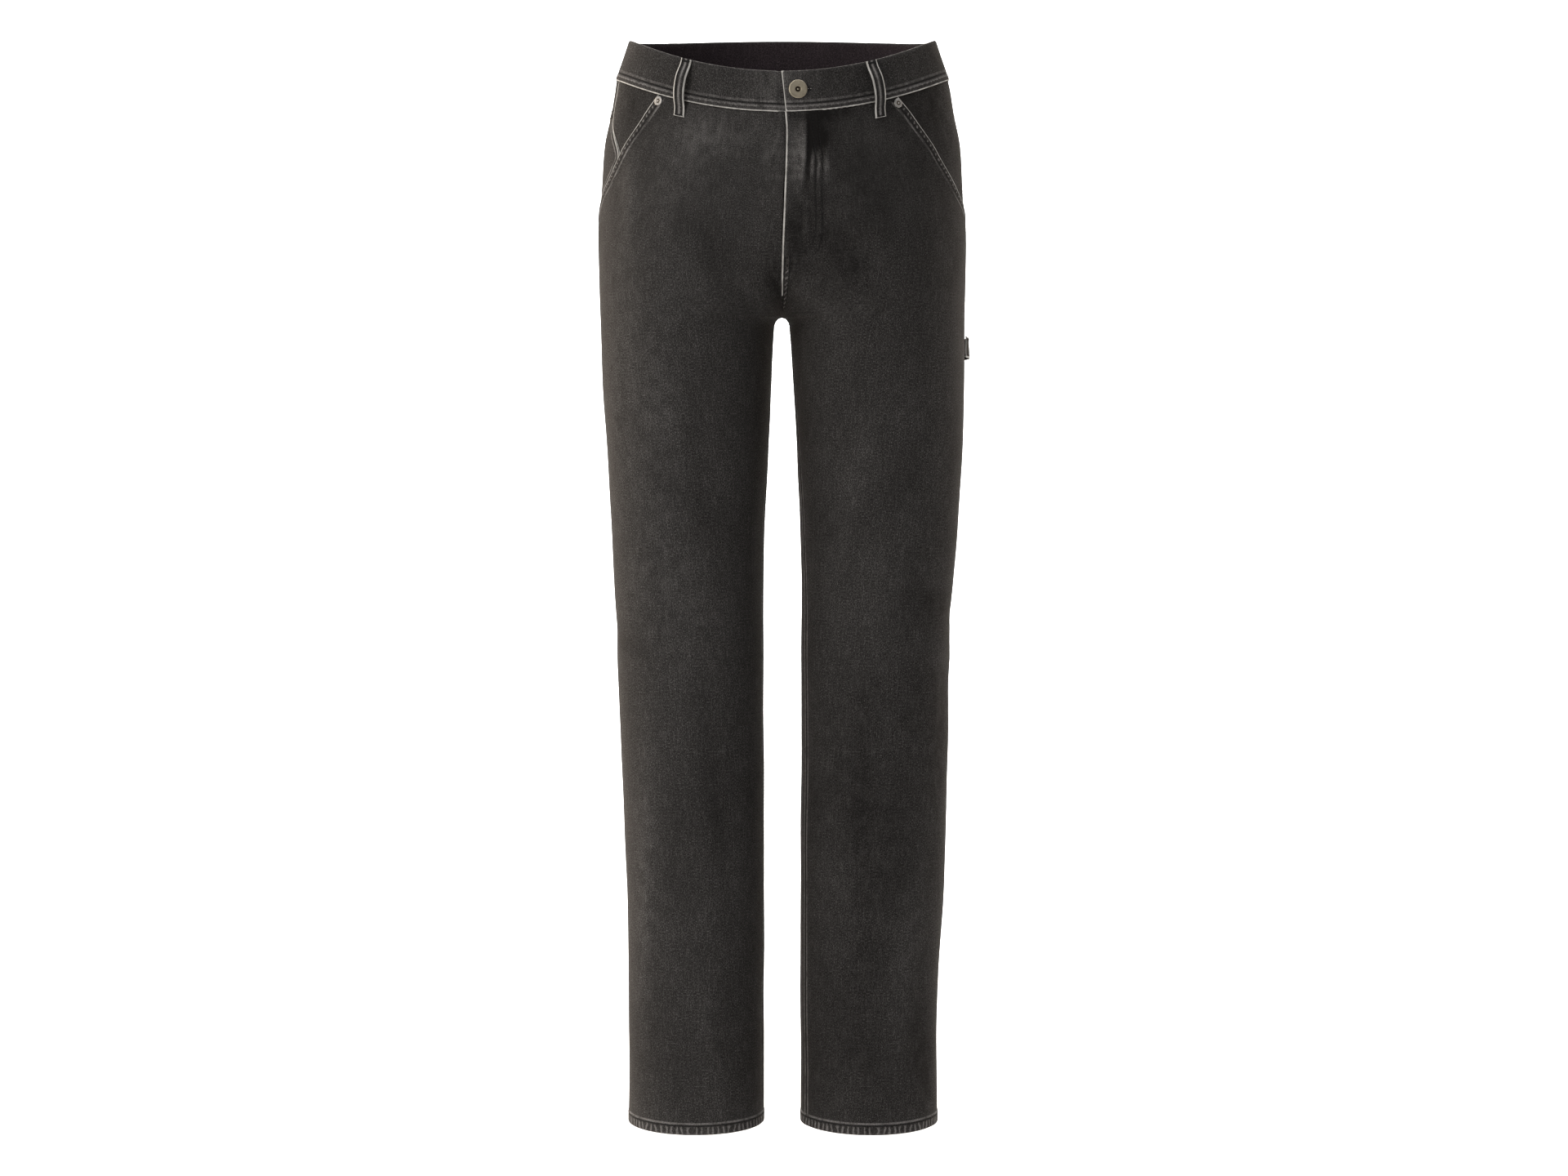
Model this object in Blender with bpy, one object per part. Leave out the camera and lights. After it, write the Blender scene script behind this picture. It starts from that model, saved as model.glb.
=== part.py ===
"""Carpenter pants in washed denim, filled out as worn, open at the waist and at both hems.

The origin is the middle of the waist opening. +Z is up, the front faces -Y, and +X is the wearer's left.
A place on the cloth is a side (1 for the wearer's left, -1 for the right), a level below the side of the
waist, and a distance round the leg from the outermost line of that side, negative to the front.
"""

import math

import bmesh
import bpy
import numpy as np
from mathutils import Matrix, Vector

MM = 0.001
LEFT, RIGHT = 1, -1

# Cloth
WALL = 1.2 * MM
SEAM_GAP = 0.3 * MM
HALF_GAP = SEAM_GAP / 2
LAYER_GAP = 1.0 * MM
HEM_HEIGHT = 11 * MM
HEM_RISE = 0.9 * MM
HEM_STEP = 1.0 * MM

# Corners of each outline and cells of each piece
INWARD_POINTS, OUTWARD_POINTS = 25, 41
PANEL_COLUMNS = 14
YOKE_ROWS, SEAT_ROWS, LEG_ROWS = 5, 9, 13
FACING_COLUMNS = 8
STRIP_COLUMNS, STRIP_ROWS = 7, 12
STRAP_COLUMNS, HAMMER_COLUMNS = 2, 3
METAL_SIDES = 20
CLOTH_SHARP, METAL_SHARP = 35, 50

# The whole garment
CROTCH = -268 * MM
HEM = -1060.5 * MM
FRONT_DIP = -39 * MM
BACK_LIFT = 11 * MM
DIP_POWER = 1.8
DIP_ENDS = -200 * MM
RISE_CURVE = 88 * MM
JOINED_MOST = 0.9998
GAP_ROUND = 9 * MM
STEADY_ABOVE = -180 * MM
STEADY_BELOW = -300 * MM

# Rows of a panel: parts of the rise above the crotch, millimetres below it, and levels down the leg
RISE_ROWS = (0.9, 0.66, 0.46, 0.3, 0.18, 0.09, 0.035, 0.008)
CROTCH_ROWS = (0, 1.0, 3.5, 9, 22, 42)
LEG_FROM = CROTCH - 75 * MM
LEG_TO = HEM + 70 * MM
ANKLE = HEM + 38 * MM

# Waistband
BAND_HEIGHT = 38 * MM
BAND_OUT = 1.0 * MM
BAND_IN = -1.4 * MM
BAND_LAP = 38 * MM
BAND_STEP = 9 * MM
BAND_STEP_CLEAR = 14.4 * MM
BAND_LINES = 60
# The step under the lap: the part of its length that is left, and the part of its depth reached
BAND_STEPS = ((1.0, 0.0), (0.6, 0.35), (0.3, 0.8), (0.067, 1.0))
BAND_LAP_STOPS = (0.12, 0.35, 0.6, 0.85, 1.0)

# Fly, measured from the front middle
FLY_END = -221 * MM
FLY_WIDTH = 36 * MM
FLY_RISE = 1.1 * MM
FLY_EDGE_EASE = 10 * MM
FLY_FOOT_EASE = 24 * MM
STRIP_END = -192 * MM
SHIELD_WIDTH = 40 * MM
SHIELD_LAP = 6 * MM
ZIP_WIDTH = 26 * MM
ZIP_FROM = 3 * MM
STRIP_WALL = 1.0 * MM
STRIP_GAP = 0.7 * MM

# Yoke, below the band at the outseam and at the back middle
YOKE_SIDE = 36 * MM
YOKE_MIDDLE = 64 * MM

# Belt loops and hammer loop
LOOP_WIDTH = 11.5 * MM
LOOP_WALL = 1.4 * MM
HAMMER_WIDTH = 21 * MM
HAMMER_LEVEL = -296 * MM
HAMMER_SLOPE = -4 * MM
HAMMER_SAG = 0.25

# Metal
BUTTON_LEVEL = -18 * MM
BUTTON_FROM_MIDDLE = 13.5 * MM
RIVET_LEVEL = -44.5 * MM
RIVET_FROM_EDGE = 5.5 * MM

# One row for each level, in millimetres: the level, the outermost reach of the wearer's right and left side
# from the middle, the inside of the leg from the middle, and the reach forward and back
LEVEL_COLUMNS = ("level", "right", "left", "inside", "front", "back")
LEVELS = (
    (0, 148, 148, 0, 108, 112),
    (-19, 154.5, 154.5, 0, 110, 115),
    (-38, 161, 161, 0, 111.5, 119),
    (-70, 167, 167, 0, 114, 126),
    (-102, 174, 174, 0, 116, 133),
    (-150, 177, 177, 0, 118, 140),
    (-182, 180, 180, 0, 118, 141),
    (-230, 179.5, 179.5, 0, 115, 137),
    (-268, 178, 179, 7, 110, 128),
    (-340, 175, 178, 11, 102, 113),
    (-404, 171, 176, 14.5, 95, 102),
    (-468, 167.5, 172, 17.5, 89, 93),
    (-532, 165, 167, 19, 84, 86),
    (-597, 162, 164, 19, 81, 81),
    (-694, 158.5, 163, 19, 78, 77),
    (-823, 154, 159.5, 18.5, 75, 73),
    (-954, 152, 153, 18.5, 72, 70),
    (-1060.5, 152, 154, 18.5, 70, 70),
)

# How far the front middle line leans to the wearer's left, in millimetres
MIDDLE_COLUMNS = ("level", "lean")
MIDDLE = ((0, -1), (-38, 3), (-60, 4.2), (-150, 2.4), (-250, -0.5), (-300, 0))
MIDDLE_REACH = 60 * MM

# The edge of each hip pocket, in millimetres round from the outermost line
POCKET_COLUMNS = ("level", "right", "left")
POCKET = (
    (-38, -94, -104),
    (-56, -85, -94),
    (-75, -77, -86),
    (-94, -69, -79),
    (-113, -60, -71),
    (-132, -47, -57),
    (-150, -24, -38),
    (-168, -5, -10),
)
POCKET_ENDS = -168 * MM
FACING_UNDER = 14 * MM
FACING_CLEAR = 6 * MM
FACING_LEAST = 4 * MM
FACING_RISES = 30 * MM
FACING_BEND = 0.25

# The outseam above the pockets' ends and below them, in millimetres round from the outermost line
OUTSEAM_COLUMNS = ("level", "right", "left")
OUTSEAM = (
    (-38, -24, 0),
    (-75, -27, 0),
    (-113, -60, 0),
    (-168, -5, -10),
    (-200, -1, -3),
    (-300, 5, 4),
    (-1061, 5, 4),
)
RIGHT_POCKET_ENDS = -113 * MM

# Soft folds, in millimetres: the side, the middle of the fold, its half length and half width, its slant from
# upright in degrees and how far it stands out, or in where that is negative
FOLD_COLUMNS = ("side", "level", "along", "length", "width", "slant", "height")
FOLDS = (
    (RIGHT, -148, -91, 42, 11, 16, 1.6),
    (LEFT, -300, 110, 55, 16, 48, -2.2),
    (RIGHT, -304, 112, 60, 16, 46, -2.2),
    (LEFT, -548, 95, 60, 15, 82, -2.4),
    (RIGHT, -556, 98, 58, 15, 84, -2.4),
    (LEFT, -600, 70, 45, 14, 78, 1.8),
    (RIGHT, -590, 75, 50, 14, 80, 1.8),
    (LEFT, -640, -30, 90, 18, 8, -1.6),
    (RIGHT, -820, -60, 110, 16, -5, 1.4),
    (LEFT, -900, -75, 110, 16, 4, 1.4),
)

# Belt loops: the name, the side and the distance round, in millimetres
LOOPS = (
    ("belt_loop_front_right", RIGHT, -115),
    ("belt_loop_front_left", LEFT, -121.5),
    ("belt_loop_back_right", RIGHT, 92),
    ("belt_loop_back_left", LEFT, 92),
)

# The run of a belt loop, in millimetres: the level, and its inner face out from the panel
LOOP_RUN = ((-0.6, 1.5), (-6, 1.6), (-12, 5.0), (-18, 7.3), (-25, 7.8), (-32, 7.0), (-39, 4.6), (-45, 1.2), (-53, 0.5))

# The run of the hammer loop, in millimetres: the distance round, and its inner face out from the panel
HAMMER_RUN = ((7, 0.6), (11, 1.6), (20, 4.8), (32, 7.6), (44, 7.6), (56, 4.8), (65, 1.6), (70, 0.5))

# The turned outlines, in millimetres: the distance from the axis, and the height over the cloth
BUTTON_TURN = ((0, 0.3), (3.4, 0.3), (3.4, 1.1), (7.4, 1.3), (8.6, 1.9), (8.8, 2.6), (8.0, 3.2),
               (4.6, 3.0), (4.1, 2.5), (2.2, 2.5), (1.9, 1.9), (0, 1.9))
RIVET_TURN = ((0, 0.3), (4.1, 0.3), (4.4, 0.7), (3.9, 1.3), (2.4, 1.5), (1.9, 1.2), (1.1, 1.2), (0.8, 1.7), (0, 1.8))

# Colour, roughness and metallic value of each finish
DENIM = ("washed_denim", (0.030, 0.030, 0.033, 1), 0.92, 0.0)
DENIM_INSIDE = ("denim_inside", (0.020, 0.018, 0.020, 1), 0.94, 0.0)
BUTTON_METAL = ("button_metal", (0.30, 0.29, 0.27, 1), 0.38, 1.0)
RIVET_METAL = ("rivet_metal", (0.34, 0.34, 0.34, 1), 0.42, 1.0)


def smooth_step(value):
    value = min(max(value, 0.0), 1.0)
    return value * value * (3 - 2 * value)


def read(table, columns, name, level):
    """A column of a table at a level in metres, on a smooth curve through its rows."""
    levels = [-row[0] for row in table]
    values = [row[columns.index(name)] for row in table]
    at = min(max(-level / MM, levels[0]), levels[-1])
    i = min(int(np.searchsorted(levels, at, side="right")), len(levels) - 1) - 1

    def slope(k):
        before, after = max(k - 1, 0), min(k + 1, len(levels) - 1)
        return (values[after] - values[before]) / (levels[after] - levels[before])

    span = levels[i + 1] - levels[i]
    t = (at - levels[i]) / span
    start = values[i] * (1 + 2 * t) * (1 - t) ** 2 + slope(i) * span * t * (1 - t) ** 2
    end = values[i + 1] * t * t * (3 - 2 * t) + slope(i + 1) * span * t * t * (t - 1)
    return (start + end) * MM


def side_name(side):
    return "left" if side == LEFT else "right"


def joined(level):
    """1 where the halves meet along the whole rise, down to 0 at the crotch and in the legs."""
    t = min(max((level - CROTCH) / RISE_CURVE, 0.0), 1.0)
    return math.sqrt(1 - (1 - t) ** 2)


def outline(side, level):
    """One half at a level, from the front middle round the outside to the back middle: the points, and how
    far round each one is from the outermost line."""
    reach = read(LEVELS, LEVEL_COLUMNS, side_name(side), level)
    front = read(LEVELS, LEVEL_COLUMNS, "front", level)
    back = read(LEVELS, LEVEL_COLUMNS, "back", level)
    inside = read(LEVELS, LEVEL_COLUMNS, "inside", level)
    depth, middle = (back + front) / 2, (back - front) / 2
    below_band = (-BAND_HEIGHT - level) / (-BAND_HEIGHT - CROTCH)
    centre = max((reach + inside) / 2 * smooth_step(below_band), HALF_GAP)
    if level > CROTCH:
        join = min(joined(level), JOINED_MOST)
        inner = (centre - HALF_GAP) / math.sqrt(1 - join**2)
    else:
        t = min((CROTCH - level) / GAP_ROUND, 1.0)
        join = 0.0
        inner = centre - HALF_GAP - (inside - HALF_GAP) * math.sqrt(1 - (1 - t) ** 2)
    inward = np.linspace(math.acos(join), 0, INWARD_POINTS)
    outward = np.linspace(math.pi / 2, 0, OUTWARD_POINTS)[1:]
    x = np.concatenate([centre - inner * np.sin(inward), centre + (reach - centre) * np.cos(outward)])
    y = np.concatenate([depth * np.cos(inward), depth * np.sin(outward)])
    lift = np.concatenate([np.ones(len(inward)), np.sin(outward) ** DIP_POWER])
    fade = 1 - smooth_step((-BAND_HEIGHT - level) / (-BAND_HEIGHT - DIP_ENDS))
    lean = read(MIDDLE, MIDDLE_COLUMNS, "lean", level) * np.clip(1 - x / MIDDLE_REACH, 0, 1) ** 2
    front_half = np.stack([side * x + lean, middle - y, level + FRONT_DIP * lift * fade], axis=1)
    back_half = np.stack([side * x, middle + y, level + BACK_LIFT * lift * fade], axis=1)
    points = np.concatenate([front_half, back_half[::-1][1:]])
    steps = np.linalg.norm(np.diff(points[:, :2], axis=0), axis=1)
    along = np.concatenate([[0], np.cumsum(steps)])
    return points, along - along[len(x) - 1]


def on_outline(points, along, at):
    return np.array([np.interp(at, along, points[:, axis]) for axis in range(3)])


def fold(side, level, along):
    """How far the folds move the cloth out at a place."""
    total = 0.0
    for row in FOLDS:
        one = dict(zip(FOLD_COLUMNS, row))
        if one["side"] != side:
            continue
        turn = math.radians(one["slant"])
        up, round_it = level / MM - one["level"], along / MM - one["along"]
        lengthways = up * math.cos(turn) + round_it * math.sin(turn)
        across = round_it * math.cos(turn) - up * math.sin(turn)
        total += one["height"] * math.exp(-((lengthways / one["length"]) ** 2) - (across / one["width"]) ** 2)
    return total * MM


def place(side, level, along, out=0.0):
    """The point at a place on the cloth, moved out from it, and the direction that faces out."""
    reach = 1.0 * MM
    here = outline(side, level)
    low, high = here[1][0], here[1][-1]
    round_it = on_outline(*here, min(along + reach, high)) - on_outline(*here, max(along - reach, low))
    up = on_outline(*outline(side, level + reach), along) - on_outline(*outline(side, level - reach), along)
    facing = Vector(np.cross(round_it, up) * side).normalized()
    return Vector(on_outline(*here, along)) + facing * (out + fold(side, level, along)), facing


def front_middle(side, level):
    """How far round the front middle or the inseam is, with the seam's gap."""
    return outline(side, level)[1][0] + HALF_GAP * (1 - joined(level))


def back_middle(side, level):
    return outline(side, level)[1][-1] - HALF_GAP * (1 - joined(level))


def panel_column(middle, side, level, edge, fraction):
    """How far round a column of a panel is, a fraction of the way from the panel's edge to its middle line.
    Only the columns near the inseam follow the quick turn under the crotch."""
    end = middle(side, level)
    steady = end
    if STEADY_BELOW < level < STEADY_ABOVE:
        above, below = middle(side, STEADY_ABOVE), middle(side, STEADY_BELOW)
        steady = above + (below - above) * smooth_step((STEADY_ABOVE - level) / (STEADY_ABOVE - STEADY_BELOW))
    return edge + (steady - edge) * fraction + (end - steady) * fraction**4


def pocket_edge(side, level):
    return read(POCKET, POCKET_COLUMNS, side_name(side), level)


def outseam(side, level):
    """Round to the seam between front and back, which follows the pocket's edge where that lies on it."""
    ends = RIGHT_POCKET_ENDS if side == RIGHT else POCKET_ENDS
    if POCKET_ENDS < level < ends:
        return pocket_edge(side, level)
    return read(OUTSEAM, OUTSEAM_COLUMNS, side_name(side), level)


def front_outer_edge(side, level):
    edge = pocket_edge(side, level) if level > POCKET_ENDS else outseam(side, level)
    return edge - HALF_GAP


def hem_rise(level):
    """How much thicker the turned hem is, on each face."""
    return HEM_RISE * min(max((HEM + HEM_HEIGHT + HEM_STEP - level) / HEM_STEP, 0.0), 1.0)


def fly_rise(side, level, from_middle):
    """How far the facing and the shield lift the wearer's left front beside the fly."""
    if side == RIGHT:
        return 0.0
    across = smooth_step((FLY_WIDTH - from_middle) / FLY_EDGE_EASE + 0.5)
    down = smooth_step((level - FLY_END) / FLY_FOOT_EASE)
    return FLY_RISE * across * down


def yoke_seam(fraction):
    """The level of the yoke's lower seam at a fraction of the way from the outseam to the back middle."""
    return -BAND_HEIGHT - YOKE_SIDE - (YOKE_MIDDLE - YOKE_SIDE) * fraction


def yoke_levels():
    return list(np.linspace(-BAND_HEIGHT - SEAM_GAP, yoke_seam(0), YOKE_ROWS))


def seat_levels():
    """The rows from the yoke's seam, at the outseam, to the end of the pockets."""
    return list(np.linspace(yoke_seam(0) - SEAM_GAP, POCKET_ENDS, SEAT_ROWS))


def leg_levels():
    """The rows of a panel below the hips, closer together where the rise turns under and at the hem."""
    above = [CROTCH + RISE_CURVE * part for part in RISE_ROWS]
    below = [CROTCH - drop * MM for drop in CROTCH_ROWS]
    leg = list(np.linspace(LEG_FROM, LEG_TO, LEG_ROWS))
    return above + below + leg + [ANKLE, HEM + HEM_HEIGHT + HEM_STEP, HEM + HEM_HEIGHT, HEM]


def material(finish):
    name, colour, roughness, metallic = finish
    made = bpy.data.materials.get(name) or bpy.data.materials.new(name)
    made.use_nodes = True
    shader = made.node_tree.nodes["Principled BSDF"]
    shader.inputs["Base Color"].default_value = colour
    shader.inputs["Roughness"].default_value = roughness
    shader.inputs["Metallic"].default_value = metallic
    made.diffuse_color = colour
    return made


def finish_object(name, bm, finish, sharp=CLOTH_SHARP):
    """Makes the named object, with its faces out and its round stretches smooth."""
    bmesh.ops.recalc_face_normals(bm, faces=bm.faces)
    if bm.calc_volume(signed=True) < 0:
        bmesh.ops.reverse_faces(bm, faces=bm.faces)
    mesh = bpy.data.meshes.new(name)
    bm.to_mesh(mesh)
    bm.free()
    mesh.materials.append(material(finish))
    mesh.shade_smooth()
    mesh.set_sharp_from_angle(angle=math.radians(sharp))
    made = bpy.data.objects.new(name, mesh)
    bpy.context.scene.collection.objects.link(made)
    return made


def cloth(name, columns, rows, point, finish=DENIM):
    """A wall of cloth. A grid is extruded once, and point(column, row, outside) says where each corner goes,
    with column and row from 0 to 1."""
    bm = bmesh.new()
    bmesh.ops.create_grid(bm, x_segments=columns, y_segments=rows, size=0.5)
    bmesh.ops.translate(bm, vec=(0.5, 0.5, 0), verts=bm.verts)
    raised = bmesh.ops.extrude_face_region(bm, geom=bm.faces[:])["geom"]
    bmesh.ops.translate(bm, vec=(0, 0, 1), verts=[v for v in raised if isinstance(v, bmesh.types.BMVert)])
    for corner in bm.verts:
        corner.co = point(corner.co.x, corner.co.y, corner.co.z > 0.5)
    return finish_object(name, bm, finish)


def front_panel(side):
    levels = yoke_levels() + seat_levels()[1:] + leg_levels()

    def point(column, row, outside):
        level = levels[round(row * (len(levels) - 1))]
        along = panel_column(front_middle, side, level, front_outer_edge(side, level), 1 - column)
        rise = hem_rise(level) + fly_rise(side, level, along - outline(side, level)[1][0])
        thick = hem_rise(level)
        return place(side, level, along, rise if outside else -WALL - thick)[0]

    return cloth(f"front_panel_{side_name(side)}", PANEL_COLUMNS, len(levels) - 1, point)


def back_panel(side):
    seat, levels = seat_levels(), leg_levels()

    def point(column, row, outside):
        i = round(row * (len(seat) + len(levels) - 1))
        if i < len(seat):
            down = (seat[i] - seat[0]) / (seat[-1] - seat[0])
            top = yoke_seam(column) - SEAM_GAP
            level = top + (POCKET_ENDS - top) * down
        else:
            level = levels[i - len(seat)]
        along = panel_column(back_middle, side, level, outseam(side, level) + HALF_GAP, column)
        thick = hem_rise(level)
        return place(side, level, along, thick if outside else -WALL - thick)[0]

    return cloth(f"back_panel_{side_name(side)}", PANEL_COLUMNS, len(seat) + len(levels) - 1, point)


def yoke(side):
    top = -BAND_HEIGHT - SEAM_GAP

    def point(column, row, outside):
        level = top + (yoke_seam(column) - top) * row
        start, end = outseam(side, level) + HALF_GAP, back_middle(side, level)
        return place(side, level, start + (end - start) * column, 0 if outside else -WALL)[0]

    return cloth(f"yoke_{side_name(side)}", PANEL_COLUMNS, YOKE_ROWS - 1, point)


def pocket_facing(side):
    """The cloth that shows in the pocket's mouth. It starts under the front's edge and rises to the outseam."""
    below = [level for level in seat_levels()[1:] if side == LEFT or level > RIGHT_POCKET_ENDS - 10 * MM]
    levels = yoke_levels() + below
    under = -WALL - LAYER_GAP

    def point(column, row, outside):
        level = levels[round(row * (len(levels) - 1))]
        edge, end = pocket_edge(side, level), outseam(side, level) - HALF_GAP
        bend = min(edge + FACING_CLEAR, end - FACING_LEAST)
        if column <= FACING_BEND:
            start = edge - FACING_UNDER
            along = start + (bend - start) * column / FACING_BEND
            risen = 0.0
        else:
            shown = (column - FACING_BEND) / (1 - FACING_BEND)
            along = bend + (end - bend) * shown
            risen = smooth_step(shown) * min((end - bend) / FACING_RISES, 1.0) ** 2
        out = under * (1 - risen)
        return place(side, level, along, out if outside else out - WALL)[0]

    return cloth(f"pocket_facing_{side_name(side)}", FACING_COLUMNS, len(levels) - 1, point)


def strip_behind_fly(name, from_left, to_left, depth, bottom, finish):
    """A strip behind the fly, from one distance off the front middle to another, to the wearer's left."""
    top = -BAND_HEIGHT - SEAM_GAP

    def point(column, row, outside):
        level = top + (bottom - top) * row
        off = from_left + (to_left - from_left) * column
        side = LEFT if off >= 0 else RIGHT
        along = outline(side, level)[1][0] + abs(off)
        return place(side, level, along, depth if outside else depth - STRIP_WALL)[0]

    return cloth(name, STRIP_COLUMNS, STRIP_ROWS, point, finish)


def waistband():
    """One strip that starts at the front middle, goes round the wearer's left, the back and the right, and
    steps under its own start."""
    quarter = BAND_LINES // 2
    stops = [(LEFT, i / quarter, 0.0) for i in range(quarter)]
    stops += [(RIGHT, 1 - i / quarter, 0.0) for i in range(quarter)]
    under = BAND_IN - BAND_OUT - SEAM_GAP
    step = [(BAND_STEP * part, down) for part, down in BAND_STEPS]
    lap = [BAND_LAP * part for part in BAND_LAP_STOPS]
    length = outline(RIGHT, 0)[1]
    keep = BAND_STEP_CLEAR / (length[-1] - length[0])
    stops = [stop for stop in stops if stop[0] == LEFT or stop[1] > keep]
    columns = len(stops) + len(step) + len(lap) - 1

    def point(column, row, outside):
        i = round(column * columns)
        level = -BAND_HEIGHT * row
        face = BAND_OUT if outside else BAND_IN
        if i < len(stops):
            side, fraction, down = stops[i]
            line = outline(side, level)[1]
            along = line[0] + (line[-1] - line[0]) * fraction
        elif i < len(stops) + len(step):
            side = RIGHT
            from_middle, down = step[i - len(stops)]
            along = outline(side, level)[1][0] + from_middle
        else:
            side, down = LEFT, 1.0
            along = outline(side, level)[1][0] + lap[i - len(stops) - len(step)]
        return place(side, level, along, face + under * down)[0]

    return cloth("waistband", columns, 3, point)


def belt_loop(name, side, along):
    """A strap up the waistband, from under its top edge to below its seam."""

    def point(column, row, outside):
        level, out = LOOP_RUN[round(row * (len(LOOP_RUN) - 1))]
        line = outline(side, level * MM)[1]
        spread = LOOP_WIDTH * (column - 0.5)
        middle = outline(side, -BAND_HEIGHT / 2)[1]
        scale = (line[-1] - line[0]) / (middle[-1] - middle[0])
        face = out * MM + (LOOP_WALL if outside else 0)
        return place(side, level * MM, along * scale + spread, face)[0]

    return cloth(name, STRAP_COLUMNS, len(LOOP_RUN) - 1, point)


def middle_belt_loop():
    """The strap at the back middle, half on each side of the seam."""

    def point(column, row, outside):
        level, out = LOOP_RUN[round(row * (len(LOOP_RUN) - 1))]
        off = LOOP_WIDTH * (column - 0.5)
        side = LEFT if off >= 0 else RIGHT
        face = out * MM + (LOOP_WALL if outside else 0)
        made = place(side, level * MM, outline(side, level * MM)[1][-1] - abs(off), face)[0]
        return Vector((off, made.y, made.z))

    return cloth("belt_loop_back_middle", STRAP_COLUMNS, len(LOOP_RUN) - 1, point)


def hammer_loop():
    """The strap across the wearer's left outseam, which sags a little towards its lower edge."""

    def point(column, row, outside):
        along, out = HAMMER_RUN[round(row * (len(HAMMER_RUN) - 1))]
        level = HAMMER_LEVEL + HAMMER_WIDTH * (0.5 - column) + HAMMER_SLOPE * row
        face = out * MM * (1 + HAMMER_SAG * column) + (LOOP_WALL if outside else 0)
        return place(LEFT, level, along * MM, face)[0]

    return cloth("hammer_loop", HAMMER_COLUMNS, len(HAMMER_RUN) - 1, point)


def turned(name, turn, side, level, along, rise, finish):
    """A round metal piece, spun from its outline, seated on the cloth and facing out."""
    bm = bmesh.new()
    corners = [bm.verts.new((radius * MM, 0, height * MM)) for radius, height in turn]
    edges = [bm.edges.new(pair) for pair in zip(corners, corners[1:])]
    bmesh.ops.spin(bm, geom=corners + edges, axis=(0, 0, 1), cent=(0, 0, 0), steps=METAL_SIDES,
                   angle=math.tau, use_merge=True)
    bmesh.ops.remove_doubles(bm, verts=bm.verts, dist=0.01 * MM)
    seat, facing = place(side, level, along, rise)
    turn_to = facing.to_track_quat("Z", "Y").to_matrix().to_4x4()
    bmesh.ops.transform(bm, matrix=Matrix.Translation(seat) @ turn_to, verts=bm.verts)
    return finish_object(name, bm, finish, sharp=METAL_SHARP)


def build():
    for old in list(bpy.data.objects):
        bpy.data.objects.remove(old, do_unlink=True)
    for side in (LEFT, RIGHT):
        front_panel(side)
        back_panel(side)
        yoke(side)
        pocket_facing(side)
        rivet_along = pocket_edge(side, RIVET_LEVEL) - RIVET_FROM_EDGE
        turned(f"pocket_rivet_{side_name(side)}", RIVET_TURN, side, RIVET_LEVEL, rivet_along, 0, RIVET_METAL)
    waistband()
    zip_depth = -WALL - STRIP_GAP
    shield_depth = zip_depth - STRIP_WALL - STRIP_GAP
    strip_behind_fly("zip_tape", ZIP_FROM, ZIP_FROM + ZIP_WIDTH, zip_depth, STRIP_END, DENIM_INSIDE)
    strip_behind_fly("fly_shield", -SHIELD_LAP, SHIELD_WIDTH, shield_depth, STRIP_END, DENIM_INSIDE)
    for name, side, along in LOOPS:
        belt_loop(name, side, along * MM)
    middle_belt_loop()
    hammer_loop()
    button_along = outline(LEFT, BUTTON_LEVEL)[1][0] + BUTTON_FROM_MIDDLE
    turned("waist_button", BUTTON_TURN, LEFT, BUTTON_LEVEL, button_along, BAND_OUT, BUTTON_METAL)


build()
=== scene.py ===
# %% [markdown]
# # Carpenter pants in washed denim
# The pair stands filled out, as on a form that has been taken away, so every wall of cloth is a shell with
# an empty hollow inside. This lesson lays each cut piece of cloth on one shared surface, presses the seams
# and creases into it, sews it with real stitches, and gives it the look of black denim after a hard wash.
# We work in metres. A place on the cloth is a side (1 for the wearer's left, -1 for the right), a level
# below the waist, and a distance round the leg from the outermost line, negative to the front.

# %% Load the fixed frame
import math

import bmesh
import bpy
import numpy as np
from mathutils import Matrix, Vector


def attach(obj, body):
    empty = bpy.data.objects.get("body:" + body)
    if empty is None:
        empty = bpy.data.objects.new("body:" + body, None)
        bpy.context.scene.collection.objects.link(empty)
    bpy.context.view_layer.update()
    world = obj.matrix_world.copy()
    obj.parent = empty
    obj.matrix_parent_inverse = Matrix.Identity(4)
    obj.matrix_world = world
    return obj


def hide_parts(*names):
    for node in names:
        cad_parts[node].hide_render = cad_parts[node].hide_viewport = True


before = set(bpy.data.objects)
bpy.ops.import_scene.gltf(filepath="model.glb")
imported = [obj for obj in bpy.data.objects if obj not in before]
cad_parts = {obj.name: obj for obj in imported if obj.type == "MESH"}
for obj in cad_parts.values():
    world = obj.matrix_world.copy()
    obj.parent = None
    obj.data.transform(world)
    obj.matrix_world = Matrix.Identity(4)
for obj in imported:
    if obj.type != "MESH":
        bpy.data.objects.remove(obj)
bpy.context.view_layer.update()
MM = 0.001
LEFT, RIGHT = 1, -1
SIDE_NAMES = {LEFT: "left", RIGHT: "right"}

# %% [markdown]
# ## The shared form
# A pair of trousers is one surface: an oval at the waist that parts into two tubes at the crotch. A tailor
# would take it from measures at a few levels, and we do the same. A table gives the reach to each side, to
# the front and to the back, and a smooth curve through its rows gives every level between. It is the
# same table that the solids are made from, so the cloth lies exactly where they do.

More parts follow.
